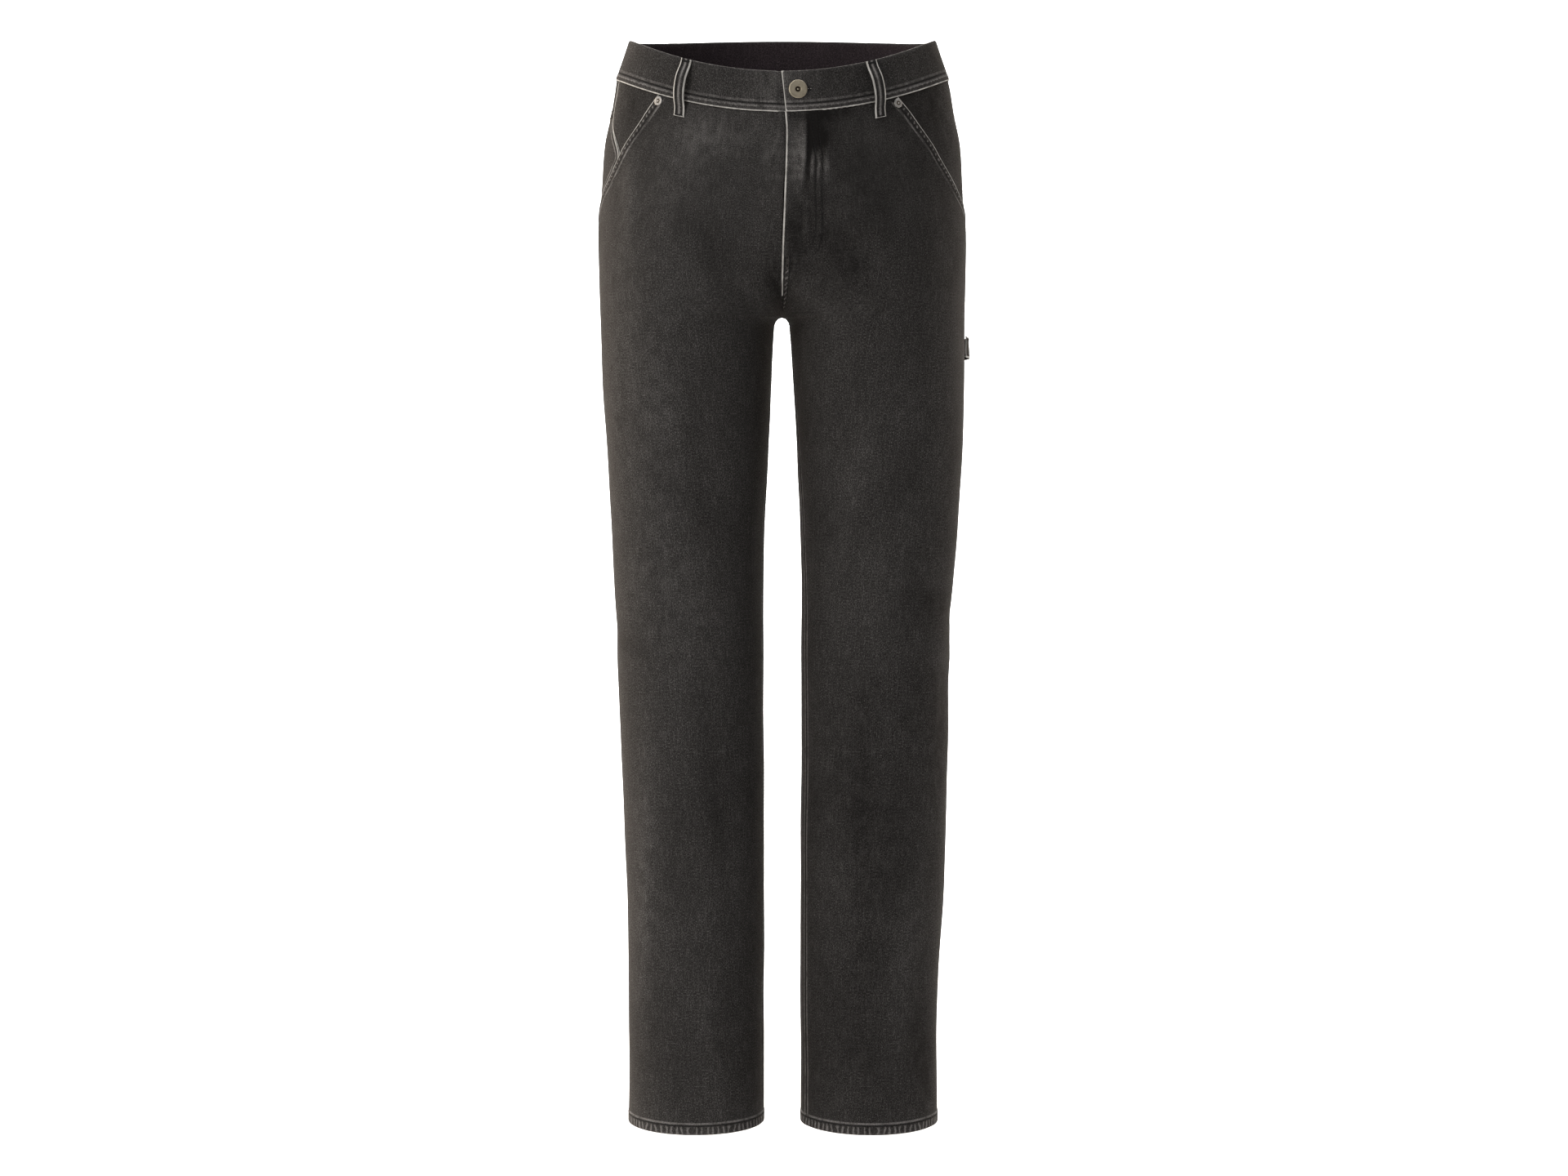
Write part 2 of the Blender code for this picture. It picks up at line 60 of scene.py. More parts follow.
# %% Measures of the form, in millimetres
CROTCH, HEM = -268 * MM, -1060.5 * MM
BAND = 38 * MM
FRONT_DIP, BACK_LIFT, DIP_POWER, DIP_ENDS = -39 * MM, 11 * MM, 1.8, -200 * MM
RISE_CURVE, GAP_ROUND, HALF_GAP = 88 * MM, 9 * MM, 0.15 * MM
MEASURES = ("level", "right", "left", "inside", "front", "back")
FORM = (
    (0, 148, 148, 0, 108, 112),
    (-19, 154.5, 154.5, 0, 110, 115),
    (-38, 161, 161, 0, 111.5, 119),
    (-70, 167, 167, 0, 114, 126),
    (-102, 174, 174, 0, 116, 133),
    (-150, 177, 177, 0, 118, 140),
    (-182, 180, 180, 0, 118, 141),
    (-230, 179.5, 179.5, 0, 115, 137),
    (-268, 178, 179, 7, 110, 128),
    (-340, 175, 178, 11, 102, 113),
    (-404, 171, 176, 14.5, 95, 102),
    (-468, 167.5, 172, 17.5, 89, 93),
    (-532, 165, 167, 19, 84, 86),
    (-597, 162, 164, 19, 81, 81),
    (-694, 158.5, 163, 19, 78, 77),
    (-823, 154, 159.5, 18.5, 75, 73),
    (-954, 152, 153, 18.5, 72, 70),
    (-1060.5, 152, 154, 18.5, 70, 70),
)
MIDDLE_LEAN = (("level", "lean"), (0, -1), (-38, 3), (-60, 4.2), (-150, 2.4), (-250, -0.5), (-300, 0))
LEAN_REACH = 60 * MM


def smooth_step(value):
    value = np.clip(value, 0.0, 1.0)
    return value * value * (3 - 2 * value)


def read(rows, column, level):
    """One column of a table at any levels in metres, on a smooth curve through its rows."""
    depth = np.array([-row[0] for row in rows], float)
    value = np.array([row[column] for row in rows], float)
    at = np.clip(-np.asarray(level, float) / MM, depth[0], depth[-1])
    i = np.clip(np.searchsorted(depth, at, side="right") - 1, 0, len(depth) - 2)
    before = np.maximum(np.arange(len(depth)) - 1, 0)
    after = np.minimum(np.arange(len(depth)) + 1, len(depth) - 1)
    slope = (value[after] - value[before]) / (depth[after] - depth[before])
    span = depth[i + 1] - depth[i]
    t = (at - depth[i]) / span
    start = value[i] * (1 + 2 * t) * (1 - t) ** 2 + slope[i] * span * t * (1 - t) ** 2
    end = value[i + 1] * t * t * (3 - 2 * t) + slope[i + 1] * span * t * t * (t - 1)
    return (start + end) * MM


print("hips:", 2 * read(FORM, 1, -182 * MM), "m across")

# %% The outline of one half at a level
INWARD_POINTS, OUTWARD_POINTS = 61, 101


def outline(side, level):
    """From the front middle round the outside to the back middle: the points, and how far round each is."""
    reach, front, back, inside = (read(FORM, MEASURES.index(name), level)
                                  for name in (SIDE_NAMES[side], "front", "back", "inside"))
    depth, middle = (back + front) / 2, (back - front) / 2
    below_band = (-BAND - level) / (-BAND - CROTCH)
    centre = max((reach + inside) / 2 * smooth_step(below_band), HALF_GAP)
    if level > CROTCH:
        t = min((level - CROTCH) / RISE_CURVE, 1.0)
        join = min(math.sqrt(1 - (1 - t) ** 2), 0.9998)
        inner = (centre - HALF_GAP) / math.sqrt(1 - join**2)
    else:
        t = min((CROTCH - level) / GAP_ROUND, 1.0)
        join = 0.0
        inner = centre - HALF_GAP - (inside - HALF_GAP) * math.sqrt(1 - (1 - t) ** 2)
    inward = np.linspace(math.acos(join), 0, INWARD_POINTS)
    outward = np.linspace(math.pi / 2, 0, OUTWARD_POINTS)[1:]
    x = np.concatenate([centre - inner * np.sin(inward), centre + (reach - centre) * np.cos(outward)])
    y = np.concatenate([depth * np.cos(inward), depth * np.sin(outward)])
    lift = np.concatenate([np.ones(len(inward)), np.sin(outward) ** DIP_POWER])
    fade = 1 - smooth_step((-BAND - level) / (-BAND - DIP_ENDS))
    lean = read(MIDDLE_LEAN[1:], 1, level) * np.clip(1 - x / LEAN_REACH, 0, 1) ** 2
    front_half = np.stack([side * x + lean, middle - y, level + FRONT_DIP * lift * fade], axis=1)
    back_half = np.stack([side * x, middle + y, level + BACK_LIFT * lift * fade], axis=1)
    points = np.concatenate([front_half, back_half[::-1][1:]])
    along = np.concatenate([[0], np.cumsum(np.linalg.norm(np.diff(points[:, :2], axis=0), axis=1))])
    return points, along - along[len(x) - 1]


print("points round one half:", len(outline(LEFT, -0.1)[0]))

# %% [markdown]
# Every piece asks for thousands of places on the form, so we measure the form once on a close net of levels
# and read between its knots. The net is closer at the crotch, where the surface turns under quickly.

# %% The form on a close net
ROUND_KNOTS = 301


def net_of(side):
    near_crotch = -CROTCH + np.linspace(-4, 4, 33) * MM
    depths = np.unique(np.round(np.concatenate([np.arange(0, -HEM, 1.5 * MM), near_crotch, [-HEM]]), 6))
    ends, points = [], []
    for depth in depths:
        line, along = outline(side, -depth)
        at = np.linspace(along[0], along[-1], ROUND_KNOTS)
        ends.append((along[0], along[-1]))
        points.append(np.stack([np.interp(at, along, line[:, axis]) for axis in range(3)], axis=1))
    points = np.array(points)
    normals = -side * np.cross(np.gradient(points, axis=1), np.gradient(points, axis=0))
    normals /= np.linalg.norm(normals, axis=2, keepdims=True)
    return {"depths": depths, "ends": np.array(ends), "points": points, "normals": normals}


NETS = {side: net_of(side) for side in (LEFT, RIGHT)}


def ends_at(side, level):
    """How far round the front middle and the back middle are."""
    net = NETS[side]
    return (np.interp(-np.asarray(level), net["depths"], net["ends"][:, 0]),
            np.interp(-np.asarray(level), net["depths"], net["ends"][:, 1]))


def on_form(side, level, along, out=0.0):
    """Points on the form, moved out from it, and the directions that face out."""
    net = NETS[side]
    level, along, out = np.broadcast_arrays(np.asarray(level, float), along, out)
    depth = np.clip(-level, net["depths"][0], net["depths"][-1])
    i = np.clip(np.searchsorted(net["depths"], depth, side="right") - 1, 0, len(net["depths"]) - 2)
    t = ((depth - net["depths"][i]) / (net["depths"][i + 1] - net["depths"][i]))[:, None]
    start, end = ends_at(side, level)
    knot = np.clip((along - start) / (end - start), 0, 1) * (ROUND_KNOTS - 1)
    j = np.clip(knot.astype(int), 0, ROUND_KNOTS - 2)
    s = (knot - j)[:, None]

    def between(values):
        above = values[i, j] * (1 - s) + values[i, j + 1] * s
        below = values[i + 1, j] * (1 - s) + values[i + 1, j + 1] * s
        return above * (1 - t) + below * t

    facing = between(net["normals"])
    facing /= np.linalg.norm(facing, axis=1, keepdims=True)
    return between(net["points"]) + facing * out[:, None], facing


print("net:", NETS[LEFT]["points"].shape)

# %% [markdown]
# ## Seam lines
# The pocket mouths, the outseams and the yoke are lines on the form. A piece ends at them, the stitches
# follow them, and the wash has worn them pale. Each is written once, as a function of the level.

# %% Lines between the pieces, in millimetres round from the outermost line
POCKET_MOUTH = (
    ("level", "right", "left"),
    (-38, -94, -104),
    (-56, -85, -94),
    (-75, -77, -86),
    (-94, -69, -79),
    (-113, -60, -71),
    (-132, -47, -57),
    (-150, -24, -38),
    (-168, -5, -10),
)
OUTSEAM = (
    ("level", "right", "left"),
    (-38, -24, 0),
    (-75, -27, 0),
    (-113, -60, 0),
    (-168, -5, -10),
    (-200, -1, -3),
    (-300, 5, 4),
    (-1061, 5, 4),
)
MOUTH_ENDS = -168 * MM
FACING_ENDS = {LEFT: MOUTH_ENDS, RIGHT: -113 * MM}
YOKE_SIDE, YOKE_MIDDLE = 36 * MM, 64 * MM


def column_of(side):
    return 2 if side == LEFT else 1


def pocket_mouth(side, level):
    return read(POCKET_MOUTH[1:], column_of(side), level)


def outseam(side, level):
    level = np.asarray(level, float)
    on_mouth = (level > MOUTH_ENDS) & (level < FACING_ENDS[side])
    return np.where(on_mouth, pocket_mouth(side, level), read(OUTSEAM[1:], column_of(side), level))


def front_edge(side, level):
    level = np.asarray(level, float)
    return np.where(level > MOUTH_ENDS, pocket_mouth(side, level), outseam(side, level))


def yoke_seam(fraction):
    """The level of the yoke's seam at a fraction of the way from the outseam to the back middle."""
    return -BAND - YOKE_SIDE - (YOKE_MIDDLE - YOKE_SIDE) * fraction


def line_of(levels, round_it):
    """A seam line as rows of level and distance round."""
    return np.stack([levels, round_it], axis=1)


def runs_of(line):
    """How far down a line each of its points is."""
    return np.concatenate([[0], np.cumsum(np.linalg.norm(np.diff(line, axis=0), axis=1))])


def beside(line, distance):
    """A line a distance to one side of another, as a second row of stitches is."""
    run = np.gradient(line, axis=0)
    run /= np.linalg.norm(run, axis=1, keepdims=True)
    return line + np.stack([run[:, 1], -run[:, 0]], axis=1) * distance


def distance_to(line, level, along):
    """How far places lie from a line, and how far down the line their nearest point is."""
    place = np.stack([level, along], axis=1)
    steps = np.diff(line, axis=0)
    lengths, runs = np.linalg.norm(steps, axis=1), runs_of(line)
    nearest, run = np.full(len(place), 1.0), np.zeros(len(place))
    for k, step in enumerate(steps):
        t = np.clip((place - line[k]) @ step / lengths[k] ** 2, 0, 1)
        gap = np.linalg.norm(place - line[k] - t[:, None] * step, axis=1)
        closer = gap < nearest
        nearest, run = np.where(closer, gap, nearest), np.where(closer, runs[k] + t * lengths[k], run)
    return nearest, run


print("mouth of the left pocket:", round(float(pocket_mouth(LEFT, -0.113)), 4))

# %% [markdown]
# ## Creases
# Cloth this heavy keeps a few long soft folds and no sharp ones. Each row of the table is one fold, pressed
# out where its height is positive and in where it is negative. The hidden side gets folds of the same kind:
# drag lines under the seat and the stack of shallow breaks behind the knees.

# %% Folds pressed into the form, in millimetres and degrees
FOLD_COLUMNS = ("side", "level", "along", "length", "width", "slant", "height")
FOLDS = (
    # hips
    (RIGHT, -148, -91, 42, 11, 16, 1.6),
    (RIGHT, -70, -150, 26, 16, 70, 0.6),
    (LEFT, -72, -140, 24, 14, -70, 0.6),
    (RIGHT, -205, -190, 50, 14, 38, -0.8),
    (LEFT, -215, -196, 50, 14, -38, -0.8),
    (RIGHT, -246, -232, 42, 9, 52, 0.9),
    (LEFT, -250, -236, 42, 9, -52, 0.9),
    # thighs
    (LEFT, -330, -70, 90, 20, 6, 0.8),
    (RIGHT, -350, -60, 90, 18, -6, 0.8),
    (RIGHT, -420, -150, 90, 12, -4, -0.8),
    (LEFT, -440, -165, 90, 12, 5, 0.8),
    (LEFT, -548, -38, 60, 14, -75, -1.3),
    (LEFT, -596, -30, 50, 14, -80, 1.2),
    (LEFT, -640, -30, 90, 18, 8, -1.6),
    (RIGHT, -580, -36, 46, 13, 78, -0.9),
    # shins
    (RIGHT, -820, -60, 110, 16, -5, 1.4),
    (LEFT, -900, -75, 110, 16, 4, 1.4),
    (RIGHT, -760, -140, 120, 10, 3, -0.7),
    (LEFT, -790, -128, 120, 11, -3, -0.7),
    (RIGHT, -960, -120, 80, 11, 4, 0.7),
    (LEFT, -1000, -46, 60, 13, -8, -0.9),
    # seat and the backs of the legs
    (LEFT, -300, 110, 55, 16, 48, -2.2),
    (RIGHT, -304, 112, 60, 16, 46, -2.2),
    (LEFT, -270, 150, 48, 11, 54, -1.6),
    (RIGHT, -276, 148, 50, 11, 52, -1.6),
    (LEFT, -330, 80, 60, 12, 56, 1.2),
    (RIGHT, -338, 84, 56, 12, 58, 1.2),
    (LEFT, -548, 95, 60, 15, 82, -2.4),
    (RIGHT, -556, 98, 58, 15, 84, -2.4),
    (LEFT, -600, 70, 45, 14, 78, 1.8),
    (RIGHT, -590, 75, 50, 14, 80, 1.8),
    (LEFT, -632, 110, 50, 12, 100, -1.5),
    (RIGHT, -640, 104, 50, 12, 98, -1.5),
    (LEFT, -820, 90, 120, 15, 5, -1.2),
    (RIGHT, -850, 96, 120, 15, -5, -1.2),
)
# The same beside the fly, where the along column is the distance from the front middle
FLY_FOLDS = (
    (LEFT, -86, 15.0, 44, 4.2, 2, 1.5),
    (LEFT, -84, 21.0, 44, 3.2, 2, -1.3),
    (LEFT, -66, 29, 24, 9, 0, -0.8),
    (LEFT, -101, 24.6, 17, 2.0, 1, 0.9),
    (LEFT, -102, 27.4, 17, 1.5, 1, -0.7),
    (LEFT, -102, 30.2, 19, 2.0, 0, 0.8),
    (LEFT, -103, 33.8, 18, 2.0, 0, -0.6),
    (LEFT, -106, 37.6, 18, 2.6, -1, 0.7),
    (LEFT, -170, 20, 34, 3.0, -3, 0.5),
    (RIGHT, -84, 12, 18, 2.4, -12, 0.5),
    (RIGHT, -89, 20, 15, 2.4, -16, 0.4),
    (RIGHT, -60, 7, 12, 2.2, -4, 0.4),
)
# Places that the wash has left paler, and, below 0, places painted darker as shade in the pocket mouths,
# beside the fly's fold, under the band and at the fly's foot: the same columns, with a share of tone for
# height
WEAR_AND_SHADE = (
    (RIGHT, -66, -165, 28, 42, 10, 0.10),
    (RIGHT, -120, -150, 60, 30, 6, 0.07),
    (RIGHT, -330, -120, 120, 45, 0, 0.06),
    (LEFT, -330, -125, 120, 45, 0, 0.05),
    (LEFT, -530, -110, 70, 50, 0, 0.07),
    (RIGHT, -540, -105, 70, 50, 0, 0.07),
    # Painted shade in the pocket mouths, just under the band
    (RIGHT, -60, -60, 30, 20, 0, -0.06),
    (LEFT, -60, -60, 30, 20, 0, -0.05),
    (RIGHT, -280, 110, 90, 60, 0, 0.07),
    (LEFT, -280, 110, 90, 60, 0, 0.07),
)
FLY_WEAR_AND_SHADE = (
    (LEFT, -88, 8, 42, 8, 1, 0.26),
    (LEFT, -96, 15.8, 28, 1.8, 2, 0.35),
    (LEFT, -101, 24.6, 14, 1.6, 1, 0.36),
    (LEFT, -103, 30.2, 16, 1.6, 0, 0.34),
    (LEFT, -106, 37.6, 16, 2.2, -1, 0.26),
    # Painted shadow right of the fly's fold below the band, and a strip of painted shadow just under the band
    (LEFT, -60, 28, 18, 12, 0, -0.14),
    (LEFT, -42, 26, 6, 30, 0, -0.16),
    # Painted shade at the foot of the fly
    (LEFT, -190, 14, 60, 16, 0, -0.08),
    (RIGHT, -90, 10, 40, 12, 0, 0.08),
    # Painted shade above the crotch
    (RIGHT, -240, 8, 30, 14, 0, -0.10),
)
# Per metre of a fold's height: crests come out paler from the wash, and hollows are painted darker as shade
FOLD_WEAR_AND_SHADE, FLY_FOLD_WEAR_AND_SHADE = 0.06 / MM, 0.15 / MM
# How much darker each side is all over: a little on both as the cloth's tone, and more on the wearer's left
# as painted shade for the weaker light on that side
SIDE_TONE_AND_SHADE = {LEFT: -0.055, RIGHT: -0.012}
# Waves round the cloth and down it, in radians a metre, with their turn and their height in millimetres
UNEVEN = (
    (19, 9, 0.4, 0.35),
    (33, -14, 2.1, 0.25),
    (11, 41, 4.0, 0.20),
    (61, 23, 1.3, 0.12),
    (27, 71, 5.2, 0.10),
)
CREASES_START = 12 * MM


def marks(rows, side, level, along):
    """The sum of a table's marks at places on the cloth. Each is a long mound with soft sides."""
    total = np.zeros(np.broadcast(level, along).shape)
    for row in rows:
        one = dict(zip(FOLD_COLUMNS, row))
        if one["side"] != side:
            continue
        turn = math.radians(one["slant"])
        up, round_it = level / MM - one["level"], along / MM - one["along"]
        lengthways = (up * math.cos(turn) + round_it * math.sin(turn)) / one["length"]
        across = (round_it * math.cos(turn) - up * math.sin(turn)) / one["width"]
        total = total + one["height"] * np.exp(-(lengthways**2) - across**2)
    return total


def creases(side, level, along):
    """How far the folds move the cloth out."""
    from_middle = along - ends_at(side, level)[0]
    total = marks(FOLDS, side, level, along) + marks(FLY_FOLDS, side, level, from_middle)
    for round_wave, down_wave, turn, height in UNEVEN:
        total = total + height * np.sin(round_wave * along + down_wave * level + turn * side)
    return total * MM * smooth_step((-BAND - level) / CREASES_START)


def wear_and_shade_of(side, level, along):
    """How much paler the wash has left the cloth, with crests paler. Hollows and the tables' places below 0
    are painted darker as shade, and each side is toned darker, the wearer's left further as painted shade.
    """
    from_middle = along - ends_at(side, level)[0]
    folds = marks(FOLDS, side, level, along) * FOLD_WEAR_AND_SHADE
    folds = folds + marks(FLY_FOLDS, side, level, from_middle) * FLY_FOLD_WEAR_AND_SHADE
    # Worn places are paler; places below 0 are painted shade
    worn = marks(WEAR_AND_SHADE, side, level, along) + marks(FLY_WEAR_AND_SHADE, side, level, from_middle)
    return folds * MM + worn + SIDE_TONE_AND_SHADE[side]


print("folds:", len(FOLDS) + len(FLY_FOLDS), "worn places:", len(WEAR_AND_SHADE) + len(FLY_WEAR_AND_SHADE))

# %% [markdown]
# ## Shader sums
# Materials are worked out as sums of masks. A small class wraps one output of a node, so that a sum in
# Python adds the Math nodes that it needs. Every other node comes from one method.

# %% A wire between nodes
class Wire:
    """One output of a shader node. Arithmetic on wires adds Math nodes to the same tree."""

    def __init__(self, tree, socket):
        self.tree, self.socket = tree, socket

    def node(self, kind, sockets, output=0, **settings):
        """Adds a node: its settings are set first, then its sockets are linked or given values."""
        made = self.tree.nodes.new(kind)
        for name, value in settings.items():
            setattr(made, name, value)
        for name, value in sockets.items():
            if isinstance(value, Wire):
                self.tree.links.new(made.inputs[name], value.socket)
            else:
                made.inputs[name].default_value = value
        return Wire(self.tree, made.outputs[output])

    def math(self, operation, first, second=0.0):
        return self.node("ShaderNodeMath", {0: first, 1: second}, operation=operation)

    def __add__(self, other):
        return self.math("ADD", self, other)

    def __sub__(self, other):
        return self.math("SUBTRACT", self, other)

    def __rsub__(self, other):
        return self.math("SUBTRACT", other, self)

    def __mul__(self, other):
        return self.math("MULTIPLY", self, other)

    __radd__, __rmul__ = __add__, __mul__

    def sine(self):
        return self.math("SINE", self)

    def step(self, low, high):
        """0 below low and 1 above high, with a soft rise between."""
        return self.node("ShaderNodeMapRange", {"Value": self, "From Min": low, "From Max": high},
                         interpolation_type="SMOOTHSTEP")

    def under(self, limit, soft):
        """1 where the value is under the limit, fading out over the soft width."""
        return 1 - self.step(limit, limit + soft)


def new_material(name, colour, roughness, metallic=0.0):
    """A material, its shader node and a wire to start from."""
    made = bpy.data.materials.new(name)
    made.use_nodes = True
    made.diffuse_color = (*colour, 1)
    shader = made.node_tree.nodes["Principled BSDF"]
    shader.inputs["Base Color"].default_value = (*colour, 1)
    shader.inputs["Roughness"].default_value = roughness
    shader.inputs["Metallic"].default_value = metallic
    return made, shader, Wire(made.node_tree, None)


def mix(start, factor, first, second):
    """A colour between two, each a wire or three numbers."""
    whole = [value if isinstance(value, Wire) else (*value, 1) for value in (first, second)]
    return start.node("ShaderNodeMix", {"Factor": factor, 6: whole[0], 7: whole[1]}, output=2,
                      data_type="RGBA")


def noise(start, vector, scale, detail=2.0, roughness=0.5):
    return start.node("ShaderNodeTexNoise", {"Vector": vector, "Scale": scale, "Detail": detail,
                                             "Roughness": roughness})


def stretched(start, vector, across, down):
    """The same places, closer together or further apart across the cloth and down it."""
    return start.node("ShaderNodeMapping", {"Vector": vector, "Scale": (across, down, 1)})


def feed(shader, wire, name):
    wire.tree.links.new(shader.inputs[name], wire.socket)


def bump(shader, height):
    """Tilts the light on the surface by a height in metres."""
    made = height.node("ShaderNodeBump", {"Height": height, "Strength": 1.0, "Distance": 1.0})
    feed(shader, made, "Normal")


def in_place(start):
    return start.node("ShaderNodeTexCoord", {}, output="Object")


print("wires ready")

# %% [markdown]
# ## Washed black denim
# Black denim is a twill: dark warp yarns cross a grey weft on a diagonal, and a stone wash rubs the raised
# yarns pale. From arm's length that reads as fine pale flecks over near black, drawn out down the leg. The
# wash bites hardest on folded edges and between stitches, where the cloth stands up in small puckers. Each
# piece carries numbers at its corners for this: the distances to its nearest folded edge, row of stitches,
# line of puckers and soft ridge, how far along the row we are, and how much the wash has taken there. That
# last number also paints shade: the hollows of folds, the pocket mouths, the places beside the fly and under
# the band, and the wearer's left side come out darker. The stitch grooves are painted darker as shade too.

# %% The denim
WALE = 0.95 * MM
PUCKER = 5.8 * MM
EDGE_LINE, EDGE_SOFT, EDGE_HALO = 0.5 * MM, 0.6 * MM, 6 * MM
# Near black painted into the stitch grooves as their shade
GROOVE_SHADE_COLOUR = (0.006, 0.006, 0.006)
FAR = 0.05
TURN = 2 * math.pi
# What a piece carries at its corners, and the value where it has none
FIELDS = {"edge": FAR, "stitch": FAR, "run": 0.0, "pad": FAR, "ridge": FAR, "wear_and_shade": 0.0}


def denim(name, dark, pale, worn, wear_and_shade=1.0):
    made, shader, start = new_material(name, pale, 0.9)
    cloth = start.node("ShaderNodeUVMap", {}, uv_map="cloth")
    edge, stitch, run, pad, ridge, washed_and_shaded = (
        start.node("ShaderNodeAttribute", {}, output="Fac", attribute_name=field) for field in FIELDS)
    across = start.node("ShaderNodeSeparateXYZ", {"Vector": cloth}, output="X")
    down = start.node("ShaderNodeSeparateXYZ", {"Vector": cloth}, output="Y")
    yarn = noise(start, stretched(start, cloth, 1.0, 0.4), 2600, 2, 0.6)
    fleck = noise(start, stretched(start, cloth, 1.0, 0.5), 1250, 2, 0.8)
    slub = noise(start, stretched(start, cloth, 1.0, 0.10), 620, 2, 0.5)
    cloud = noise(start, stretched(start, cloth, 1.0, 0.6), 13, 5, 0.6)
    patch = noise(start, stretched(start, cloth, 1.0, 0.8), 80, 3, 0.6)
    wale = ((across * 0.8 + down) * (TURN / WALE) + fleck * 3.0).sine() * 0.5 + 0.5
    rubbed = fleck.step(0.44, 0.72) * 0.56 + yarn.step(0.46, 0.74) * 0.26 + slub.step(0.44, 0.74) * 0.12
    wash = cloud.step(0.30, 0.72) * 0.7 + patch.step(0.35, 0.70) * 0.3
    # The corners' wear numbers lift the tone where the wash has worn the cloth, and below 0 they lower it as
    # painted shade
    tone = rubbed * (wash * 0.36 + 0.48 + washed_and_shaded * 2.0) + wale * 0.03 + wash * 0.02
    tone = tone + washed_and_shaded * (patch.step(0.35, 0.65) * 0.8 + 0.1)
    wobble = (noise(start, cloth, 260, 3, 0.6) - 0.5) * (0.9 * MM)
    folded = (edge + wobble).under(EDGE_LINE, EDGE_SOFT)
    halo = edge.under(0, EDGE_HALO) * (wash * 0.5 + 0.2)
    blob = (run * (TURN / PUCKER) + patch * 11.0).sine().step(0.0, 0.95)
    padded = (pad + wobble).under(0.5 * MM, 1.5 * MM) * blob
    ridged = (ridge + wobble).under(0.2 * MM, 1.3 * MM) * (patch.step(0.22, 0.55) * 1.2)
    groove_and_shade = (stitch + wobble * 0.5).under(0.35 * MM, 0.8 * MM)
    tone = tone + halo * (0.10 * wear_and_shade) + (padded + ridged) * (fleck * 0.9 + 0.12) * wear_and_shade
    colour = mix(start, tone, dark, pale)
    # Painted shade in the stitch grooves, which the bump also sinks
    colour = mix(start, groove_and_shade * 0.6, colour, GROOVE_SHADE_COLOUR)
    rub = patch.step(0.30, 0.60) * 0.4 + 0.6
    colour = mix(start, folded * rub * (yarn * 0.4 + 0.6) * wear_and_shade, colour, worn)
    feed(shader, colour, "Base Color")
    feed(shader, 0.96 - folded * 0.08 - wash * 0.03, "Roughness")
    height = wale * 0.00005 + yarn * 0.00009 + fleck * 0.00009
    height = height + padded * 0.00045 + ridged * 0.0003 - groove_and_shade * 0.00035
    bump(shader, height)
    shader.inputs["Sheen Weight"].default_value = 0.06
    shader.inputs["Sheen Roughness"].default_value = 0.35
    shader.inputs["Sheen Tint"].default_value = (1.0, 0.78, 0.60, 1)
    shader.inputs["Specular IOR Level"].default_value = 0.06
    return made


DENIM = denim("washed_denim_cloth", (0.0080, 0.0074, 0.0072), (0.160, 0.152, 0.148), (0.49, 0.475, 0.45))
INSIDE = denim("denim_inside_cloth", (0.014, 0.0105, 0.012), (0.120, 0.098, 0.108), (0.20, 0.19, 0.18),
               wear_and_shade=0.5)
print("denim nodes:", len(DENIM.node_tree.nodes))

# %% [markdown]
# ## Laying a piece
# A cut piece of cloth is a grid of small cells. We make the grid flat, send each corner to its place on the
# form, and record where it lies for the weave, the wear and the painted shade. A Solidify modifier then gives
# the cloth its thickness inwards, so the outer face stays on the form.

# %% A helper that lays cloth
WALL = 1.2 * MM


def cells(stops):
    """Places along a strip: each stop is a position and the size of the cells before it."""
    places = [stops[0][0]]
    for position, size in stops[1:]:
        count = max(round(abs(position - places[-1]) / size), 1)
        places += list(np.linspace(places[-1], position, count + 1)[1:])
    return np.array(places)


def in_scene(name, data):
    """An object at the origin, linked to the scene."""
    made = bpy.data.objects.new(name, data)
    bpy.context.scene.collection.objects.link(made)
    return made


def smooth_piece(name, bm, *materials):
    """Turns faces under edit into a smooth object with its materials."""
    for face in bm.faces:
        face.smooth = True
    mesh = bpy.data.meshes.new(name)
    bm.to_mesh(mesh)
    bm.free()
    for material in materials:
        mesh.materials.append(material)
    return in_scene(name, mesh)


